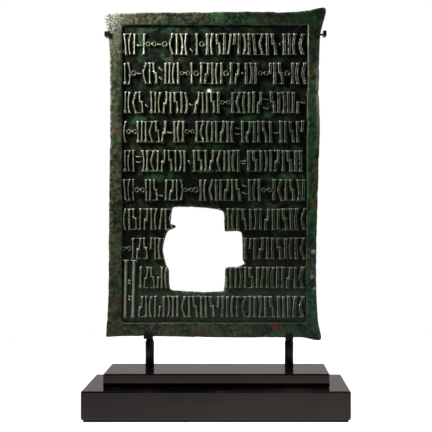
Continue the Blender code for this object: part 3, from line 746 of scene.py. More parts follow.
def raised_work(x, z, bars, pellets):
    """The strokes' and everything's height above the field's floor, where strokes and the border's lip are
    worn, with painted shade along the wide strokes' right flanks and a painted highlight on the right lip,
    and where the middles of the wide strokes' tops are painted dark as shade.
    """
    strokes, worn, core = np.zeros(x.shape), np.zeros(x.shape), np.zeros(x.shape)
    for bar in bars:
        here = near(x, z, bar.x, bar.z, *bar_reach(bar))
        depth = bar_depth(bar, x[here], z[here])
        height = bar_height(bar, x[here], z[here], depth)
        across, along = bar_frame(bar, x[here], z[here])
        tip = bell(bar.half_length - np.abs(along), TIP_LENGTH) * ease(depth / 0.3)
        ridged = ridge_share(bar)
        # Painted shade: a wide stroke's worn line is dimmer along its right flank, away from the light
        shaded_right_flank = ease(0.5 + across / 0.8) * (1 - ridged)
        strength = WORN_LINE_STRENGTH - PAINTED_RIGHT_FLANK_SHADE * shaded_right_flank
        line = np.maximum(worn_line(depth, ridged) * strength, tip)
        # The middle of a wide stroke's top is painted dark, as shade
        middle = fade(depth, 0.70, 0.30) * (1 - ridged) * (1 - tip)
        worn[here] = np.where(height > strokes[here], line, worn[here])
        core[here] = np.where(height > strokes[here], middle, core[here])
        strokes[here] = np.maximum(strokes[here], height)
    for pellet in pellets:
        here = near(x, z, pellet.x, pellet.z, pellet.radius + 2, pellet.radius + 2)
        depth = pellet.radius - np.hypot(x[here] - pellet.x, z[here] - pellet.z)
        hollow = DIMPLE_SHARE * pellet.radius
        dimple = pellet.dimple * ease((depth - pellet.radius + hollow) / hollow)
        height = pellet.rise * wall_profile(depth) - dimple
        worn[here] = np.where(height > strokes[here], PELLET_WEAR * worn_line(depth, 0.0), worn[here])
        strokes[here] = np.maximum(strokes[here], height)
    border = border_depth(x, z)
    everything = np.maximum(strokes, BORDER_RISE * wall_profile(border))
    lip = between(LIP_WEAR, np.clip((z - FIELD_FOOT) / (FIELD_TOP - FIELD_FOOT), 0.0, 1.0))
    lip = lip * (0.7 + 0.5 * lumps(x, z, 13.0, 23))
    # A painted highlight on the right lip beside the first rows
    right_x, right_z = RIGHT_LIP_HIGHLIGHT_FROM
    lip = lip * (1 + RIGHT_LIP_HIGHLIGHT * fade(x, right_x, 10.0) * fade(z, right_z, 50.0))
    return Work(strokes, everything, np.maximum(worn, lip * worn_line(border, 0.0)), core)


def smoothed(image, spread):
    reach = math.ceil(3 * spread)
    weights = np.exp(-0.5 * (np.arange(-reach, reach + 1) / spread) ** 2)
    weights /= weights.sum()
    for axis in (0, 1):
        image = np.apply_along_axis(np.convolve, axis, image, weights, "same")
    return image


def hollows_and_crests(bars, pellets, x, z):
    """How much lower or higher each point lies than the work round it."""
    across, up = [np.arange(low, high, RASTER_STEP) for low, high in zip(RASTER_LOW, RASTER_HIGH)]
    grid_x, grid_z = np.meshgrid(across, up, indexing="ij")
    height = raised_work(grid_x.ravel(), grid_z.ravel(), bars, pellets).height.reshape(grid_x.shape)
    i, j = (x - RASTER_LOW[0]) / RASTER_STEP, (z - RASTER_LOW[1]) / RASTER_STEP
    column, row = i.astype(int), j.astype(int)
    results = []
    for spread in (HOLLOW_SPREAD, CREST_SPREAD):
        image = smoothed(height, spread / RASTER_STEP) - height
        results.append(blended(image, column, row, column + 1, row + 1, i - column, j - row))
    return results[0], -results[1]


def spots(places, x, z):
    """A mask that is 1 in the middle of each place and fades at its ragged edge."""
    mask = np.zeros(len(x))
    ragged = 1 + 0.45 * lumps(x, z, 1.6, 44)
    for spot_x, spot_z, radius in places:
        away = np.hypot(x - spot_x, z - spot_z) / (radius * ragged)
        mask = np.maximum(mask, ease(1.6 - 1.2 * away))
    return mask


def cloud(patches, x, z):
    """A mask of soft, broad patches."""
    mask = np.zeros(len(x))
    for patch_x, patch_z, half_width, half_height in patches:
        away = ((x - patch_x) / half_width) ** 2 + ((z - patch_z) / half_height) ** 2
        mask = np.maximum(mask, np.exp(-away * (1 + 0.6 * lumps(x, z, 9.0, 45))))
    return mask


def wear_and_light(x, z):
    """How far wear has bared the strokes, with painted light: lighter at the top and the left, towards the
    key light, and again at the foot, where light comes from below.
    """
    top = decay(400.0 - z, 66.0)
    left = np.clip((20.0 - x) / 110.0, 0.0, 1.0)
    foot = fade(z, 190.0, -80.0)
    bared = 0.72 * top + 0.32 * left * (1 - 0.5 * foot) + 0.34 * foot
    return np.clip(bared + 0.16 * lumps(x, z, 11.0, 46), 0.0, 1.0)


def plaque_relief(x, z, bars, pellets, pits, loops):
    """Y of the front surface, and the masks that the patina reads."""
    work = raised_work(x, z, bars, pellets)
    border = border_depth(x, z)
    hollow, crest = hollows_and_crests(bars, pellets, x, z)

    rise = work.height - unevenness(x, z, FRONT_UNEVENNESS)
    for cut in CUTS:
        here = near(x, z, cut.x, cut.z, *bar_reach(cut))
        rise[here] -= cut.rise * wall_profile(bar_depth(cut, x[here], z[here]), cut.shoulder)
    for pit in pits:
        here = near(x, z, pit.x, pit.z, pit.radius, pit.radius)
        share = np.clip(1 - np.hypot(x[here] - pit.x, z[here] - pit.z) / pit.radius, 0.0, 1.0)
        rise[here] -= pit.depth * ease(share)

    edge = np.full(len(x), 9.0)
    for loop in loops:
        edge = np.minimum(edge, distance_to(loop, x, z, 4.0))
    worn = 1 - np.clip(edge / EDGE_ROUND, 0.0, 1.0)
    rise -= EDGE_DROP * (1 - np.sqrt(1 - worn**2))

    rise -= EAR_DROP * (fade(x, EAR_FROM[0], -EAR_REACH) * fade(z, EAR_FROM[1], EAR_REACH))
    # Crust at the upper left corner, speckled with painted glints as well
    side_crust_and_glint = decay(x - CRUST_AND_GLINT_RIM[0], 8.0) * fade(z, CRUST_AND_GLINT_ENDS[1], 50.0)
    top_crust_and_glint = decay(CRUST_AND_GLINT_RIM[1] - z, 7.0) * fade(x, CRUST_AND_GLINT_ENDS[0], -34.0)
    # A painted highlight along the swollen stretch of the right rim
    painted_rim_light = bell(edge, RIM_LIGHT_WIDTH) * swollen_rim(x, z) * ease(0.7 + lumps(x, z, 4.0, 47))
    masks = {
        "raised": np.clip(np.maximum(work.strokes / STROKE_RISE, wall_profile(border)), 0.0, 1.0),
        "stroke": np.clip(work.strokes / STROKE_RISE, 0.0, 1.0),
        # how far below the work round it a point lies, which is painted dark as dirt and as shade
        "hollow_dirt_and_shade": np.clip(hollow / 1.1, 0.0, 1.0),
        "crest": np.clip(crest / 0.9, 0.0, 1.0),
        "worn": work.worn,
        "core": work.core,
        "wear_and_light": wear_and_light(x, z),
        "rim": bell(edge, 1.3),
        "crust_and_glint": np.maximum(side_crust_and_glint, top_crust_and_glint),
        "rust": spots(RUST_SPOTS, x, z),
        "chips_and_rim_light": np.maximum(spots(PALE_CHIPS, x, z), RIM_LIGHT_SHARE * painted_rim_light),
        "ochre": cloud(OCHRE_PATCHES, x, z),
        "verdigris": cloud(VERDIGRIS_PATCHES, x, z),
    }
    return FIELD_FLOOR - rise, masks


# ---------------- the plaque's mesh


def well_spaced(groups):
    """Points from groups in order of importance, each at least its group's spacing from the earlier ones."""
    kept, cells = [], {}
    for points, spacing in groups:
        reach = math.ceil(spacing)
        for x, z in points:
            column, row = math.floor(x), math.floor(z)
            around = (
                other
                for i in range(column - reach, column + reach + 1)
                for j in range(row - reach, row + reach + 1)
                for other in cells.get((i, j), ())
            )
            if all((x - other_x) ** 2 + (z - other_z) ** 2 >= spacing**2 for other_x, other_z in around):
                cells.setdefault((column, row), []).append((x, z))
                kept.append((x, z))
    return kept


def jittered_grid(step, seed):
    """Points in staggered lines, a step apart and then moved a little at random."""
    rng = np.random.default_rng(seed)
    rows = int((GRID_HIGH[1] - GRID_LOW[1]) / (step * LINE_SPACING)) + 1
    columns = int((GRID_HIGH[0] - GRID_LOW[0]) / step) + 1
    points = []
    for row in range(rows):
        z = GRID_LOW[1] + row * step * LINE_SPACING
        x = GRID_LOW[0] + (row % 2) * step / 2 + np.arange(columns) * step
        points.append(np.stack([x, np.full(columns, z)], axis=1))
    points = np.concatenate(points)
    return points + rng.uniform(-GRID_JITTER, GRID_JITTER, points.shape) * step


def in_metal(points, loops, margin):
    """The points that lie in the metal and at least margin from every loop."""
    points = np.array(points)
    x, z = points[:, 0], points[:, 1]
    good = in_outline(loops, x, z)
    for loop in loops:
        good &= distance_to(loop, x, z, margin + 0.5) > margin
    return points[good]


def triangulated(loops, points):
    """Points (the loops' own first) and the triangles between them that lie in the metal."""
    every = np.concatenate([*loops, points])
    edges, start = [], 0
    for loop in loops:
        count = len(loop)
        edges += [(start + i, start + (i + 1) % count) for i in range(count)]
        start += count
    made, _, faces, origins, _, _ = delaunay_2d_cdt(
        [Vector(point) for point in every], edges, [], 0, 1e-6, True
    )
    source = [first[0] if first else -1 for first in origins]
    if min(source) < 0 or len(made) != len(every):
        raise RuntimeError("the plaque's outlines cross each other")
    triangles = np.array([[source[corner] for corner in face] for face in faces])
    middle = every[triangles].mean(axis=1)
    return every, triangles[in_outline(loops, middle[:, 0], middle[:, 1])]


def outside_bars(points, bars, margin):
    """The points that are at least margin outside every bar."""
    points = np.array(points)
    depth = np.full(len(points), -9.0)
    for bar in bars:
        here = near(points[:, 0], points[:, 1], bar.x, bar.z, *bar_reach(bar))
        depth[here] = np.maximum(depth[here], bar_depth(bar, points[here, 0], points[here, 1]))
    return points[depth < -margin]


def front_points(loops, bars, pellets, ledges, pits):
    """Where the front surface is sampled: close along every edge, and evenly elsewhere."""
    rings = [loop + into_metal(loop) * inset for loop in loops for inset in RIM_RING_INSETS]
    stroke_lines = [point for bar in bars for point in bar_points(bar)]
    stroke_lines += [point for pellet in pellets for point in pellet_points(pellet)]
    pit_rings = [point for pit in pits for point in pit_points(pit)]
    grid = outside_bars(jittered_grid(GRID_STEP, 51), bars, 0.3)
    ledge_lines = outside_bars([point for bar in ledges for point in bar_points(bar)], bars, 0.1)
    groups = [
        (in_metal(np.concatenate(rings), loops, 0.2), 0.2),
        (in_metal(stroke_lines, loops, 0.15), MIN_SPACING),
        (in_metal(ledge_lines, loops, 0.15), 0.2),
        (in_metal(border_points(), loops, 0.5), 0.13),
        (in_metal(pit_rings, loops, 0.6), 0.3),
        (in_metal(grid, loops, 0.8), GRID_STEP * 0.6),
    ]
    return np.array(well_spaced(groups))


def with_depth(points, y):
    """Points of the plaque's outline plane at given Y."""
    return np.stack([points[:, 0], y, points[:, 1]], axis=1)


def build_plaque(material):
    """The plaque as a front full of relief, a plainer back, and sides that join their loops."""
    loops = plaque_loops()
    bars, pellets, ledges = row_strokes()
    tall_bars, knobs = tall_strokes()
    bars += tall_bars
    pellets += knobs
    pits = scattered_pits()
    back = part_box("plaque")[1].y / MM

    points = front_points(loops, bars, pellets, ledges, pits)
    front, front_triangles = triangulated(loops, points)
    front_y, masks = plaque_relief(front[:, 0], front[:, 1], bars + ledges, pellets, pits, loops)
    back_loops = [loop + into_metal(loop) * BACK_INSET for loop in loops]
    back_grid = in_metal(jittered_grid(BACK_STEP, 61), back_loops, 1.5)
    rear, rear_triangles = triangulated(back_loops, np.array(well_spaced([(back_grid, BACK_STEP * 0.5)])))
    rear_y = back - unevenness(rear[:, 0], rear[:, 1], BACK_UNEVENNESS)
    rear_start = len(front)
    vertices = [with_depth(front, front_y), with_depth(rear, rear_y)]
    faces = list(front_triangles) + list(rear_triangles[:, ::-1] + rear_start)

    first, total = 0, len(front) + len(rear)
    for loop in loops:
        count = len(loop)
        normals = into_metal(loop)
        previous = np.arange(first, first + count)
        start_y = front_y[previous]
        for share in SIDE_SHARES:
            uneven = lumps(loop[:, 0] + 40 * share, loop[:, 1], 3.0, 64)
            bulge = 0.25 * math.sin(math.pi * share) + 0.12 * uneven
            y = between((start_y, back - BACK_ROUNDING), share)
            vertices.append(with_depth(loop - normals * bulge[:, None], y))
            current = np.arange(total, total + count)
            total += count
            faces += strip(previous, current)
            previous = current
        faces += strip(previous, np.arange(rear_start + first, rear_start + first + count))
        first += count
    mesh = new_mesh("bronze_plaque", np.concatenate(vertices) * MM, faces)
    for name, mask in masks.items():
        plain = 1.0 if name == "raised" else 0.0
        values = np.append(mask, np.full(total - len(front), plain)).astype(np.float32)
        mesh.attributes.new(name, "FLOAT", "POINT").data.foreach_set("value", values)
    mesh.set_sharp_from_angle(angle=math.radians(55))
    new_piece("bronze_plaque", mesh, material, "patinated_bronze", "plaque")


def strip(near_ring, far_ring):
    """Quads between two closed rings."""
    return list(zip(near_ring, np.roll(near_ring, -1), np.roll(far_ring, -1), far_ring))


def new_mesh(name, vertices, faces):
    mesh = bpy.data.meshes.new(name)
    mesh.from_pydata(vertices.tolist(), [], [tuple(map(int, face)) for face in faces])
    mesh.shade_smooth()
    return mesh


def add_object(name, data):
    added = bpy.data.objects.new(name, data)
    bpy.context.scene.collection.objects.link(added)
    return added


def new_piece(name, mesh, material, slot, *nodes):
    """An object in place of CAD nodes, with its material. The slot argument is not used."""
    piece = add_object(name, mesh)
    mesh.materials.append(material)
    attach(piece, BODY)
    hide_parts(*nodes)
    return piece


# ---------------- plinth and mount


def smooth_mesh(name, shape):
    """A smoothly shaded mesh of a bmesh, which is then freed."""
    mesh = bpy.data.meshes.new(name)
    shape.to_mesh(mesh)
    shape.free()
    mesh.shade_smooth()
    return mesh


def round_edges(shape, reach):
    bmesh.ops.bevel(
        shape, geom=shape.edges[:], offset=reach, segments=3, profile=0.5, affect="EDGES",
        clamp_overlap=True,
    )


def weigh_normals(piece):
    modifier = piece.modifiers.new("Flat_faces", "WEIGHTED_NORMAL")
    modifier.mode = "FACE_AREA"
    modifier.weight = 100
    modifier.keep_sharp = True


def rounded_rectangle(half_x, half_y, corner):
    """Points round a rectangle with round corners, anticlockwise seen from above."""
    points = []
    for quarter, (side_x, side_y) in enumerate(((1, 1), (-1, 1), (-1, -1), (1, -1))):
        for step in range(CORNER_STEPS + 1):
            angle = math.pi / 2 * (quarter + step / CORNER_STEPS)
            x = side_x * (half_x - corner) + corner * math.cos(angle)
            points.append((x, side_y * (half_y - corner) + corner * math.sin(angle)))
    return points


def quarter_round(radius, z, rising):
    """(Inset, height) points round a lower edge whose foot is at z, or an upper one whose top is at z."""
    turns = [math.pi / 2 * step / EDGE_STEPS for step in range(EDGE_STEPS + 1)]
    if rising:
        return [(radius * (1 - math.sin(turn)), z + radius * (1 - math.cos(turn))) for turn in turns]
    return [(radius * (1 - math.cos(turn)), z - radius * (1 - math.sin(turn))) for turn in turns]


def stacked(outlines):
    """A bmesh of outlines from foot to top, each joined to the next, and closed at both ends."""
    shape = bmesh.new()
    rings = [[shape.verts.new(point) for point in outline] for outline in outlines]
    for lower, upper in zip(rings, rings[1:]):
        for start in range(len(lower)):
            following = (start + 1) % len(lower)
            shape.faces.new((lower[start], lower[following], upper[following], upper[start]))
    shape.faces.new(rings[0][::-1])
    shape.faces.new(rings[-1])
    return shape


def build_slab(name, node, profile, *materials):
    """A slab of round-cornered outlines, each at its profile's inset and height.

    Faces below MATT_TOP take the last of the materials, and all others the first.
    """
    low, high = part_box(node)
    half_x, half_y = (high.x - low.x) / 2, (high.y - low.y) / 2
    outlines = []
    for inset, z in profile:
        corner = max(SLAB_CORNER - inset, SMALLEST_CORNER)
        outline = rounded_rectangle(half_x - inset, half_y - inset, corner)
        outlines.append([(x, y, z) for x, y in outline])
    shape = stacked(outlines)
    for face in shape.faces:
        if face.calc_center_median().z < MATT_TOP:
            face.material_index = len(materials) - 1
    mesh = smooth_mesh(name, shape)
    slab = new_piece(name, mesh, materials[0], "gloss_black", node)
    for material in materials[1:]:
        mesh.materials.append(material)
    weigh_normals(slab)


def build_plinth(gloss, matt):
    """Two slabs, the lower one on a low foot that is set in under its rounded lower edge."""
    low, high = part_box("lower_plinth")
    squeeze = FOOT_INSET / LOWER_EDGE_ROUNDING
    rounding = [(inset * squeeze, z) for inset, z in quarter_round(LOWER_EDGE_ROUNDING, FOOT_HEIGHT, True)]
    profile = [(FOOT_INSET, low.z)] + rounding + quarter_round(ARRIS, high.z, False)
    build_slab("plinth_lower_slab", "lower_plinth", profile, gloss, matt)
    low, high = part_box("upper_plinth")
    profile = [(ROLL_OFF, low.z), (0.0, low.z + ROLL_OFF_HEIGHT)] + quarter_round(ARRIS, high.z, False)
    build_slab("plinth_upper_slab", "upper_plinth", profile, gloss)


def build_post(node, material):
    """A turned rod with a small chamfer at its foot, a sloping shoulder and a slimmer neck."""
    low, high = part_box(node)
    x, y = (low.x + high.x) / 2, (low.y + high.y) / 2
    radius = (high.x - low.x) / 2
    neck = radius * POST_NECK_SHARE
    shoulder = POST_SHOULDER_TOP
    profile = [
        (radius - POST_CHAMFER, low.z), (radius, low.z + POST_CHAMFER), (radius, shoulder - 1.6 * MM),
        (radius - 0.15 * MM, shoulder - 1.3 * MM), (neck + 0.15 * MM, shoulder - 0.15 * MM),
        (neck, shoulder), (neck, high.z - 0.4 * MM), (neck - 0.3 * MM, high.z),
    ]
    outlines = [[(*point, z) for point in circle(x, y, ring, POST_SIDES, 0)] for ring, z in profile]
    mesh = smooth_mesh(node + "_turned", stacked(outlines))
    mesh.set_sharp_from_angle(angle=math.radians(50))
    new_piece(node + "_turned", mesh, material, "blackened_metal", node)


def build_hook(node, material):
    """A strip bent into a shoe with a lip at its front, its edges rounded."""
    low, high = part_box(node)
    lip_back, floor = low.y + HOOK_THICKNESS, low.z + HOOK_THICKNESS
    outline = (
        (low.y, low.z), (high.y, low.z), (high.y, floor),
        (lip_back, floor), (lip_back, high.z), (low.y, high.z),
    )
    shape = bmesh.new()
    corners = [[shape.verts.new((x, y, z)) for x in (low.x, high.x)] for y, z in outline]
    near_end, far_end = zip(*corners)
    shape.faces.new(near_end)
    shape.faces.new(far_end[::-1])
    for i in range(len(outline)):
        j = (i + 1) % len(outline)
        shape.faces.new((near_end[i], far_end[i], far_end[j], near_end[j]))
    bmesh.ops.recalc_face_normals(shape, faces=shape.faces)
    round_edges(shape, HOOK_ROUNDING)
    mesh = smooth_mesh(node + "_bent", shape)
    weigh_normals(new_piece(node + "_bent", mesh, material, "blackened_metal", node))


def build_flat_bar(name, node, material):
    """A box in place of a node, its edges rounded."""
    low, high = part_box(node)
    shape = bmesh.new()
    bmesh.ops.create_cube(shape, size=1.0)
    bmesh.ops.scale(shape, vec=high - low, verts=shape.verts)
    bmesh.ops.translate(shape, vec=(low + high) / 2, verts=shape.verts)
    round_edges(shape, FLAT_BAR_ROUNDING)
    weigh_normals(new_piece(name, smooth_mesh(name, shape), material, "blackened_metal", node))


def build_mount(material):
    for side in ("left", "right"):
        build_post(side + "_post", material)
        build_hook(side + "_hook", material)
        build_flat_bar(side + "_upright_bar", side + "_upright", material)
    build_flat_bar("cross_bar_flat", "cross_bar", material)
    for name in ("left_clip", "right_clip"):
        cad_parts[name].data.materials.clear()
        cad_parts[name].data.materials.append(material)


# ---------------- materials


class Nodes:
    """Short helpers for building one node tree."""

    def __init__(self, tree, coordinates):
        self.tree = tree
        self.coordinates = self.add("ShaderNodeTexCoord").outputs[coordinates]

    def fill(self, node, inputs):
        """Gives inputs of a node values or other nodes' outputs."""
        for name, value in dict(inputs).items():
            if isinstance(value, bpy.types.NodeSocket):
                self.tree.links.new(value, node.inputs[name])
            else:
                node.inputs[name].default_value = value

    def add(self, kind, inputs=(), **settings):
        node = self.tree.nodes.new(kind)
        for name, value in settings.items():
            setattr(node, name, value)
        self.fill(node, inputs)
        return node

    def noise(self, scale, detail=3.0, roughness=0.55, distortion=0.0, stretch=None):
        source = self.coordinates
        if stretch:
            source = self.add("ShaderNodeMapping", {"Vector": source, "Scale": stretch}).outputs["Vector"]
        inputs = {"Vector": source, "Scale": scale, "Detail": detail, "Roughness": roughness}
        return self.add("ShaderNodeTexNoise", {**inputs, "Distortion": distortion}).outputs["Fac"]

    def mask(self, name):
        return self.add("ShaderNodeAttribute", attribute_name=name).outputs["Fac"]

    def math(self, operation, a, b=0.0, clamp=False):
        return self.add("ShaderNodeMath", {0: a, 1: b}, operation=operation, use_clamp=clamp).outputs[0]

    def times(self, product, *factors):
        for factor in factors:
            product = self.math("MULTIPLY", product, factor)
        return product

    def most(self, a, b):
        return self.math("MAXIMUM", a, b)

    def less(self, a, b):
        """a - b, but not below 0."""
        return self.math("SUBTRACT", a, b, clamp=True)

    def ramp(self, value, low, high, to_low=0.0, to_high=1.0):
        """Smoothly maps low..high to to_low..to_high."""
        inputs = {"Value": value, "From Min": low, "From Max": high, "To Min": to_low, "To Max": to_high}
        return self.add("ShaderNodeMapRange", inputs, interpolation_type="SMOOTHSTEP").outputs["Result"]

    def mix(self, share, *colours):
        """A colour between two, each of which is a tuple or another node's output."""
        first, second = [(*value, 1.0) if isinstance(value, tuple) else value for value in colours]
        return self.add("ShaderNodeMix", {"Factor": share, 6: first, 7: second}, data_type="RGBA").outputs[2]

    def bump(self, height, distance, strength):
        inputs = {"Strength": strength, "Distance": distance, "Height": height}
        return self.add("ShaderNodeBump", inputs).outputs["Normal"]

    def axis(self, name):
        return self.add("ShaderNodeSeparateXYZ", {0: self.coordinates}).outputs[name]


def new_material(name, looks):
    """A material whose shader takes the inputs that looks works out with the helpers."""
    material = bpy.data.materials.new(name)
    material.use_nodes = True
    n = Nodes(material.node_tree, "Object")
    n.fill(n.tree.nodes["Principled BSDF"], looks(n))
    return material


def patinated_bronze(n):
    broad = n.noise(16.0, 4.0)
    patches = n.noise(70.0, 6.0, 0.62, 0.4)
    mottle = n.noise(260.0, 5.0, 0.65)
    fleck = n.noise(330.0, 4.0, 0.6)
    speckle = n.noise(620.0, 3.0, 0.6)
    grain = n.noise(1500.0, 4.0, 0.7)
    x, z = n.axis("X"), n.axis("Z")
    # The strokes are lighter where wear has bared them, and as painted light towards the upper left and the
    # foot
    raised, stroke, wear_and_light_share = n.mask("raised"), n.mask("stroke"), n.mask("wear_and_light")
    verdigris_patch = n.mask("verdigris")
    verdigris = n.times(verdigris_patch, n.ramp(n.noise(140.0, 4.0, 0.6), 0.42, 0.56))
    foot = n.ramp(z, 0.180, 0.104)
    # Painted shade towards the upper right corner, where less light falls
    painted_shade = n.times(n.ramp(x, 0.0, 0.06), n.ramp(z, 0.33, 0.41))
    # Painted shade of the strokes' tops and worn lines towards the upper right
    upper_right_shade = n.times(n.ramp(x, -0.01, 0.05), n.ramp(z, 0.24, 0.33))
    border = n.less(raised, stroke)

    # Green and brown patches with flecks, and rust, the brown paler towards the left partly as painted
    # light, and painted shade towards the upper right
    green = n.mix(n.ramp(patches, 0.40, 0.60), *GREENS)
    green = n.mix(n.times(verdigris, n.ramp(mottle, 0.3, 0.6)), green, VERDIGRIS_GREEN)
    brown = n.mix(n.ramp(mottle, 0.38, 0.62), *BROWNS)
    # More pale brown towards the left of the border: partly patina, partly painted light from the key's side
    left_brown_and_light = n.times(n.ramp(x, 0.03, -0.115), n.ramp(raised, 0.0, 0.5, 0.10, 0.5))
    left_brown_and_light = n.times(left_brown_and_light, n.ramp(verdigris_patch, 0.1, 0.8, 1.0, 0.15))
    brown_share = n.math("ADD", n.ramp(broad, 0.45, 0.70), left_brown_and_light, clamp=True)
    brown_share = n.times(brown_share, n.ramp(patches, 0.38, 0.52))
    brown_share = n.most(brown_share, n.times(n.mask("ochre"), n.ramp(mottle, 0.36, 0.56)))
    colour = n.mix(brown_share, green, brown)
    colour = n.mix(n.ramp(fleck, 0.46, 0.36, 0.0, 0.70), colour, DARK_FLECK)
    colour = n.mix(n.times(border, n.ramp(fleck, 0.54, 0.65, 0.0, 0.56)), colour, LIGHT_FLECK)
    red = n.times(n.ramp(n.noise(48.0, 5.0, 0.6), 0.68, 0.76), 0.6)
    colour = n.mix(n.most(red, n.times(n.mask("rust"), 0.85)), colour, RUST)
    # Painted shade at the upper right
    colour = n.mix(n.times(painted_shade, 0.55), colour, PAINTED_CORNER_SHADE)

    # The strokes' tops, lighter where wear and painted light reach, with painted shade at the upper right
    tops = n.mix(brown_share, n.mix(wear_and_light_share, *GREEN_TOPS), n.mix(wear_and_light_share, *BROWN_TOPS))
    tops = n.mix(n.times(foot, n.ramp(x, -0.02, 0.05, 0.0, 0.7)), tops, LOWER_RIGHT_TOPS)
    tops = n.mix(n.times(upper_right_shade, 0.85), tops, SHADED_UPPER_RIGHT_TOPS)
    colour = n.mix(n.times(stroke, 0.85), colour, tops)
    # Painted shade in the middles of the wide strokes' tops, weaker towards the foot
    core = n.times(n.mask("core"), n.ramp(foot, 0.0, 1.0, 0.92, 0.45))
    colour = n.mix(core, colour, PAINTED_TOP_SHADE)

    # The sunk field: lighter at the foot, partly as patina and partly as painted light from below, and
    # darkened elsewhere and in the hollows beside the strokes, partly as dirt and partly as painted shade
    low = n.math("SUBTRACT", 1.0, raised)
    # Lighter, tealer field towards the foot: partly patina, partly painted light from below
    foot_bloom_and_light = n.times(low, foot, n.ramp(mottle, 0.30, 0.62, 0.35, 0.95))
    colour = n.mix(foot_bloom_and_light, colour, BLOOM_AND_LIGHT)
    # Patchy dirt and painted shade on the field, kept off the foot and the verdigris
    field_dirt_and_shade = n.times(low, n.ramp(patches, 0.64, 0.46, 0.50, 1.0))
    field_dirt_and_shade = n.less(field_dirt_and_shade, n.most(foot, n.times(verdigris, 0.85)))
    # Painted shade in the hollows beside the strokes, with dirt, weaker towards the foot
    hollow_dirt_and_shade = n.ramp(n.mask("hollow_dirt_and_shade"), 0.04, 0.62, 0.0, 0.98)
    hollow_dirt_and_shade = n.times(hollow_dirt_and_shade, n.ramp(foot, 0.0, 1.0, 1.0, 0.62))
    colour = n.mix(n.most(hollow_dirt_and_shade, field_dirt_and_shade), colour, DIRT_AND_SHADE)

    # Bared metal along worn edges, and pale crust at the rim, with painted glints in the crust at the upper
    # left corner and a painted highlight along the right rim
    edge = n.times(n.mask("worn"), n.ramp(n.mask("crest"), 0.0, 0.5, 0.25, 1.0))
    edge = n.times(edge, n.ramp(patches, 0.34, 0.60, 0.60, 1.0))
    # Painted shade: the worn lines are dimmer at the upper right
    edge = n.times(edge, n.ramp(upper_right_shade, 0.0, 1.0, 1.0, 0.80))
    worn = n.times(edge, n.ramp(speckle, 0.34, 0.54, 0.35, 1.0))
    colour = n.mix(n.times(worn, 0.9), colour, n.mix(wear_and_light_share, *WORN_METAL))
    rim = n.times(n.mask("rim"), n.ramp(mottle, 0.46, 0.60, 0.0, 0.35))
    # Pale crust at the upper left corner, with painted glints
    crust_and_glint = n.times(n.mask("crust_and_glint"), n.ramp(speckle, 0.45, 0.60, 0.03, 0.66))
    # The chips are pale, and so is a painted highlight along the right rim
    pale = n.most(n.most(rim, crust_and_glint), n.times(n.mask("chips_and_rim_light"), 0.85))
    height = n.math("ADD", n.times(mottle, 0.7), n.times(grain, 0.3))
    return {
        "Base Color": n.mix(pale, colour, PALE_CRUST_AND_LIGHT),
        "Roughness": n.ramp(mottle, 0.3, 0.7, 0.28, 0.44),
        "Metallic": n.times(worn, 0.4),
        "Normal": n.bump(height, 0.0006, 0.5),
        "Specular IOR Level": 0.29,
    }


def gloss_black(n):
    x, z = n.axis("X"), n.axis("Z")
    cloudy = n.noise(11.0, 3.0, 0.6, stretch=(1.0, 1.0, 2.2))
    # Painted sheen: lighter black in cloudy patches, towards the right and on the lower slab
    haze_and_painted_sheen = n.times(n.ramp(cloudy, 0.35, 0.68), n.ramp(x, -0.14, 0.02, 0.2, 1.0))
    haze_and_painted_sheen = n.times(haze_and_painted_sheen, n.ramp(z, *PAINTED_SHEEN_CHANGE, 1.0, 0.35))
    dust = n.noise(2400.0, 2.0, 0.5)
    colour = n.mix(n.ramp(dust, 0.60, 0.75, 0.0, 0.12), n.mix(haze_and_painted_sheen, *BLACK_TO_PAINTED_SHEEN), DUST)
    # A broken pale line painted along the joint between the slabs
    joint = n.ramp(n.math("ABSOLUTE", n.math("SUBTRACT", z, JOINT_HEIGHT)), 0.0006, 0.0002)
    broken = n.ramp(n.noise(60.0, 3.0, stretch=(1.0, 1.0, 0.1)), 0.42, 0.62, 0.15, 1.0)
    return {
        "Base Color": n.mix(n.times(joint, broken), colour, JOINT_PALE_LINE),
        "Roughness": n.ramp(n.noise(22.0, 4.0, 0.6), 0.35, 0.7, 0.05, 0.13),
        "Normal": n.bump(n.noise(9.0, 2.0), 0.001, 0.05),
        "Specular Tint": (1.0, 0.86, 0.82, 1.0),
        "Specular IOR Level": 0.33,
    }


def matt_black(n):
    weave = n.noise(900.0, 3.0, 0.6)
    return {
        "Base Color": n.mix(weave, (0.003, 0.003, 0.003), (0.008, 0.007, 0.007)),
        "Roughness": 0.9,
        "Normal": n.bump(weave, 0.0002, 0.3),
        "Specular IOR Level": 0.05,
    }


def blackened_metal(n):
    brush = n.noise(90.0, 5.0, 0.7, stretch=(14.0, 14.0, 1.0))
    blotch = n.ramp(n.noise(120.0, 4.0), 0.4, 0.7)
    return {
        "Base Color": n.mix(blotch, (0.004, 0.0035, 0.003), (0.012, 0.009, 0.008)),
        "Roughness": n.ramp(brush, 0.3, 0.7, 0.26, 0.44),
        "Normal": n.bump(brush, 0.0004, 0.25),
        "Metallic": 0.35,
        "Specular IOR Level": 0.3,
    }


def pale_floor(n):
    tone = n.ramp(n.noise(3.0, 2.0), 0.3, 0.7)
    return {
        "Base Color": n.mix(tone, (0.80, 0.80, 0.80), (0.84, 0.84, 0.84)),
        "Roughness": 0.8,
        "Specular IOR Level": 0.1,
    }


# ---------------- studio


def add_floor():
    mesh = bpy.data.meshes.new("floor")
    shape = bmesh.new()
    bmesh.ops.create_circle(shape, cap_ends=True, radius=FLOOR_RADIUS, segments=96)
    shape.to_mesh(mesh)
    shape.free()
    floor = add_object("floor", mesh)
    floor.location.z = FLOOR_HEIGHT
    mesh.materials.append(new_material("Pale_floor", pale_floor))
    floor.visible_diffuse = False
    return floor


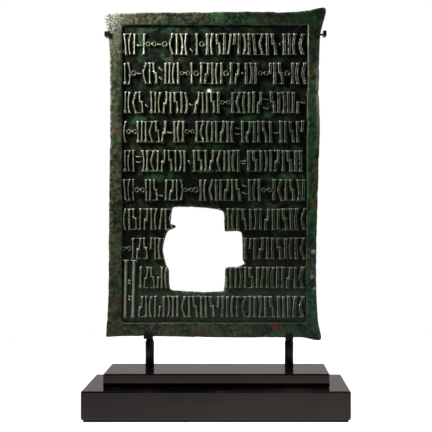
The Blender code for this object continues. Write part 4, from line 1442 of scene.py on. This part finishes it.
def light_group(name, objects):
    """A collection that limits which objects a light falls on."""
    group = bpy.data.collections.new(name)
    for piece in objects:
        group.objects.link(piece)
    return group


def add_light(name, kind, place, target, power, lit):
    data = bpy.data.lights.new(name, kind)
    data.energy = power
    light = add_object(name, data)
    light.location = place
    light.rotation_euler = (Vector(target) - Vector(place)).to_track_quat("-Z", "Y").to_euler()
    light.visible_camera = False
    light.light_linking.receiver_collection = lit
    return light


def light_work(work):
    """Panels that fall on the object only. The bounce from below leaves no highlight in its gloss."""
    for name, place, target, size, power in PANELS:
        light = add_light(name, "AREA", place, target, power, work)
        light.data.shape = "RECTANGLE"
        light.data.size, light.data.size_y = size
        light.visible_glossy = name != "Bounce"


def light_floor(floor):
    """An even light and a soft pool of light, neither of which throws a shadow of the object."""
    wash = add_light("Wash", "SUN", (0.0, 0.0, 1.0), (0.0, 0.0, 0.0), WASH_STRENGTH, floor)
    pool = add_light("Pool", "SPOT", (*POOL_MIDDLE, POOL_HEIGHT), (*POOL_MIDDLE, 0.0), POOL_POWER, floor)
    pool.data.spot_size = POOL_CONE
    pool.data.spot_blend = 1.0
    for light in (wash, pool):
        light.light_linking.blocker_collection = floor


def add_world():
    """Lighter behind the object than in front of it, and plain white to the camera."""
    world = bpy.data.worlds.new("Studio")
    bpy.context.scene.world = world
    world.use_nodes = True
    n = Nodes(world.node_tree, "Generated")
    tinted = n.tree.nodes["Background"]
    strength = n.ramp(n.axis("Y"), *WORLD_CHANGE, *WORLD_STRENGTH)
    n.fill(tinted, {"Strength": strength, "Color": WORLD_TINT})
    white = n.add("ShaderNodeBackground", {"Strength": 1.0, "Color": (1.0, 1.0, 1.0, 1.0)})
    camera_ray = n.add("ShaderNodeLightPath").outputs["Is Camera Ray"]
    mix = n.add("ShaderNodeMixShader", {"Fac": camera_ray, 1: tinted.outputs[0], 2: white.outputs[0]})
    n.fill(n.tree.nodes["World Output"], {"Surface": mix.outputs[0]})


def add_camera():
    data = bpy.data.cameras.new("Camera")
    data.lens = 90.0
    data.sensor_width = 36.0
    camera = add_object("Camera", data)
    camera.location = CAMERA_PLACE
    camera.rotation_euler = (math.radians(90), 0.0, 0.0)
    data.shift_x, data.shift_y = CAMERA_SHIFT
    data.clip_start, data.clip_end = 0.05, 50.0
    bpy.context.scene.camera = camera


def main():
    bpy.context.scene.view_settings.view_transform = "Standard"
    gloss = new_material("Gloss_black", gloss_black)
    build_plaque(new_material("Patinated_bronze", patinated_bronze))
    build_plinth(gloss, new_material("Matt_black", matt_black))
    build_mount(new_material("Blackened_metal", blackened_metal))
    work = light_group("Lit_work", [piece for piece in bpy.context.scene.objects if piece.type == "MESH"])
    floor = light_group("Lit_floor", [add_floor()])
    add_world()
    light_work(work)
    light_floor(floor)
    add_camera()


main()
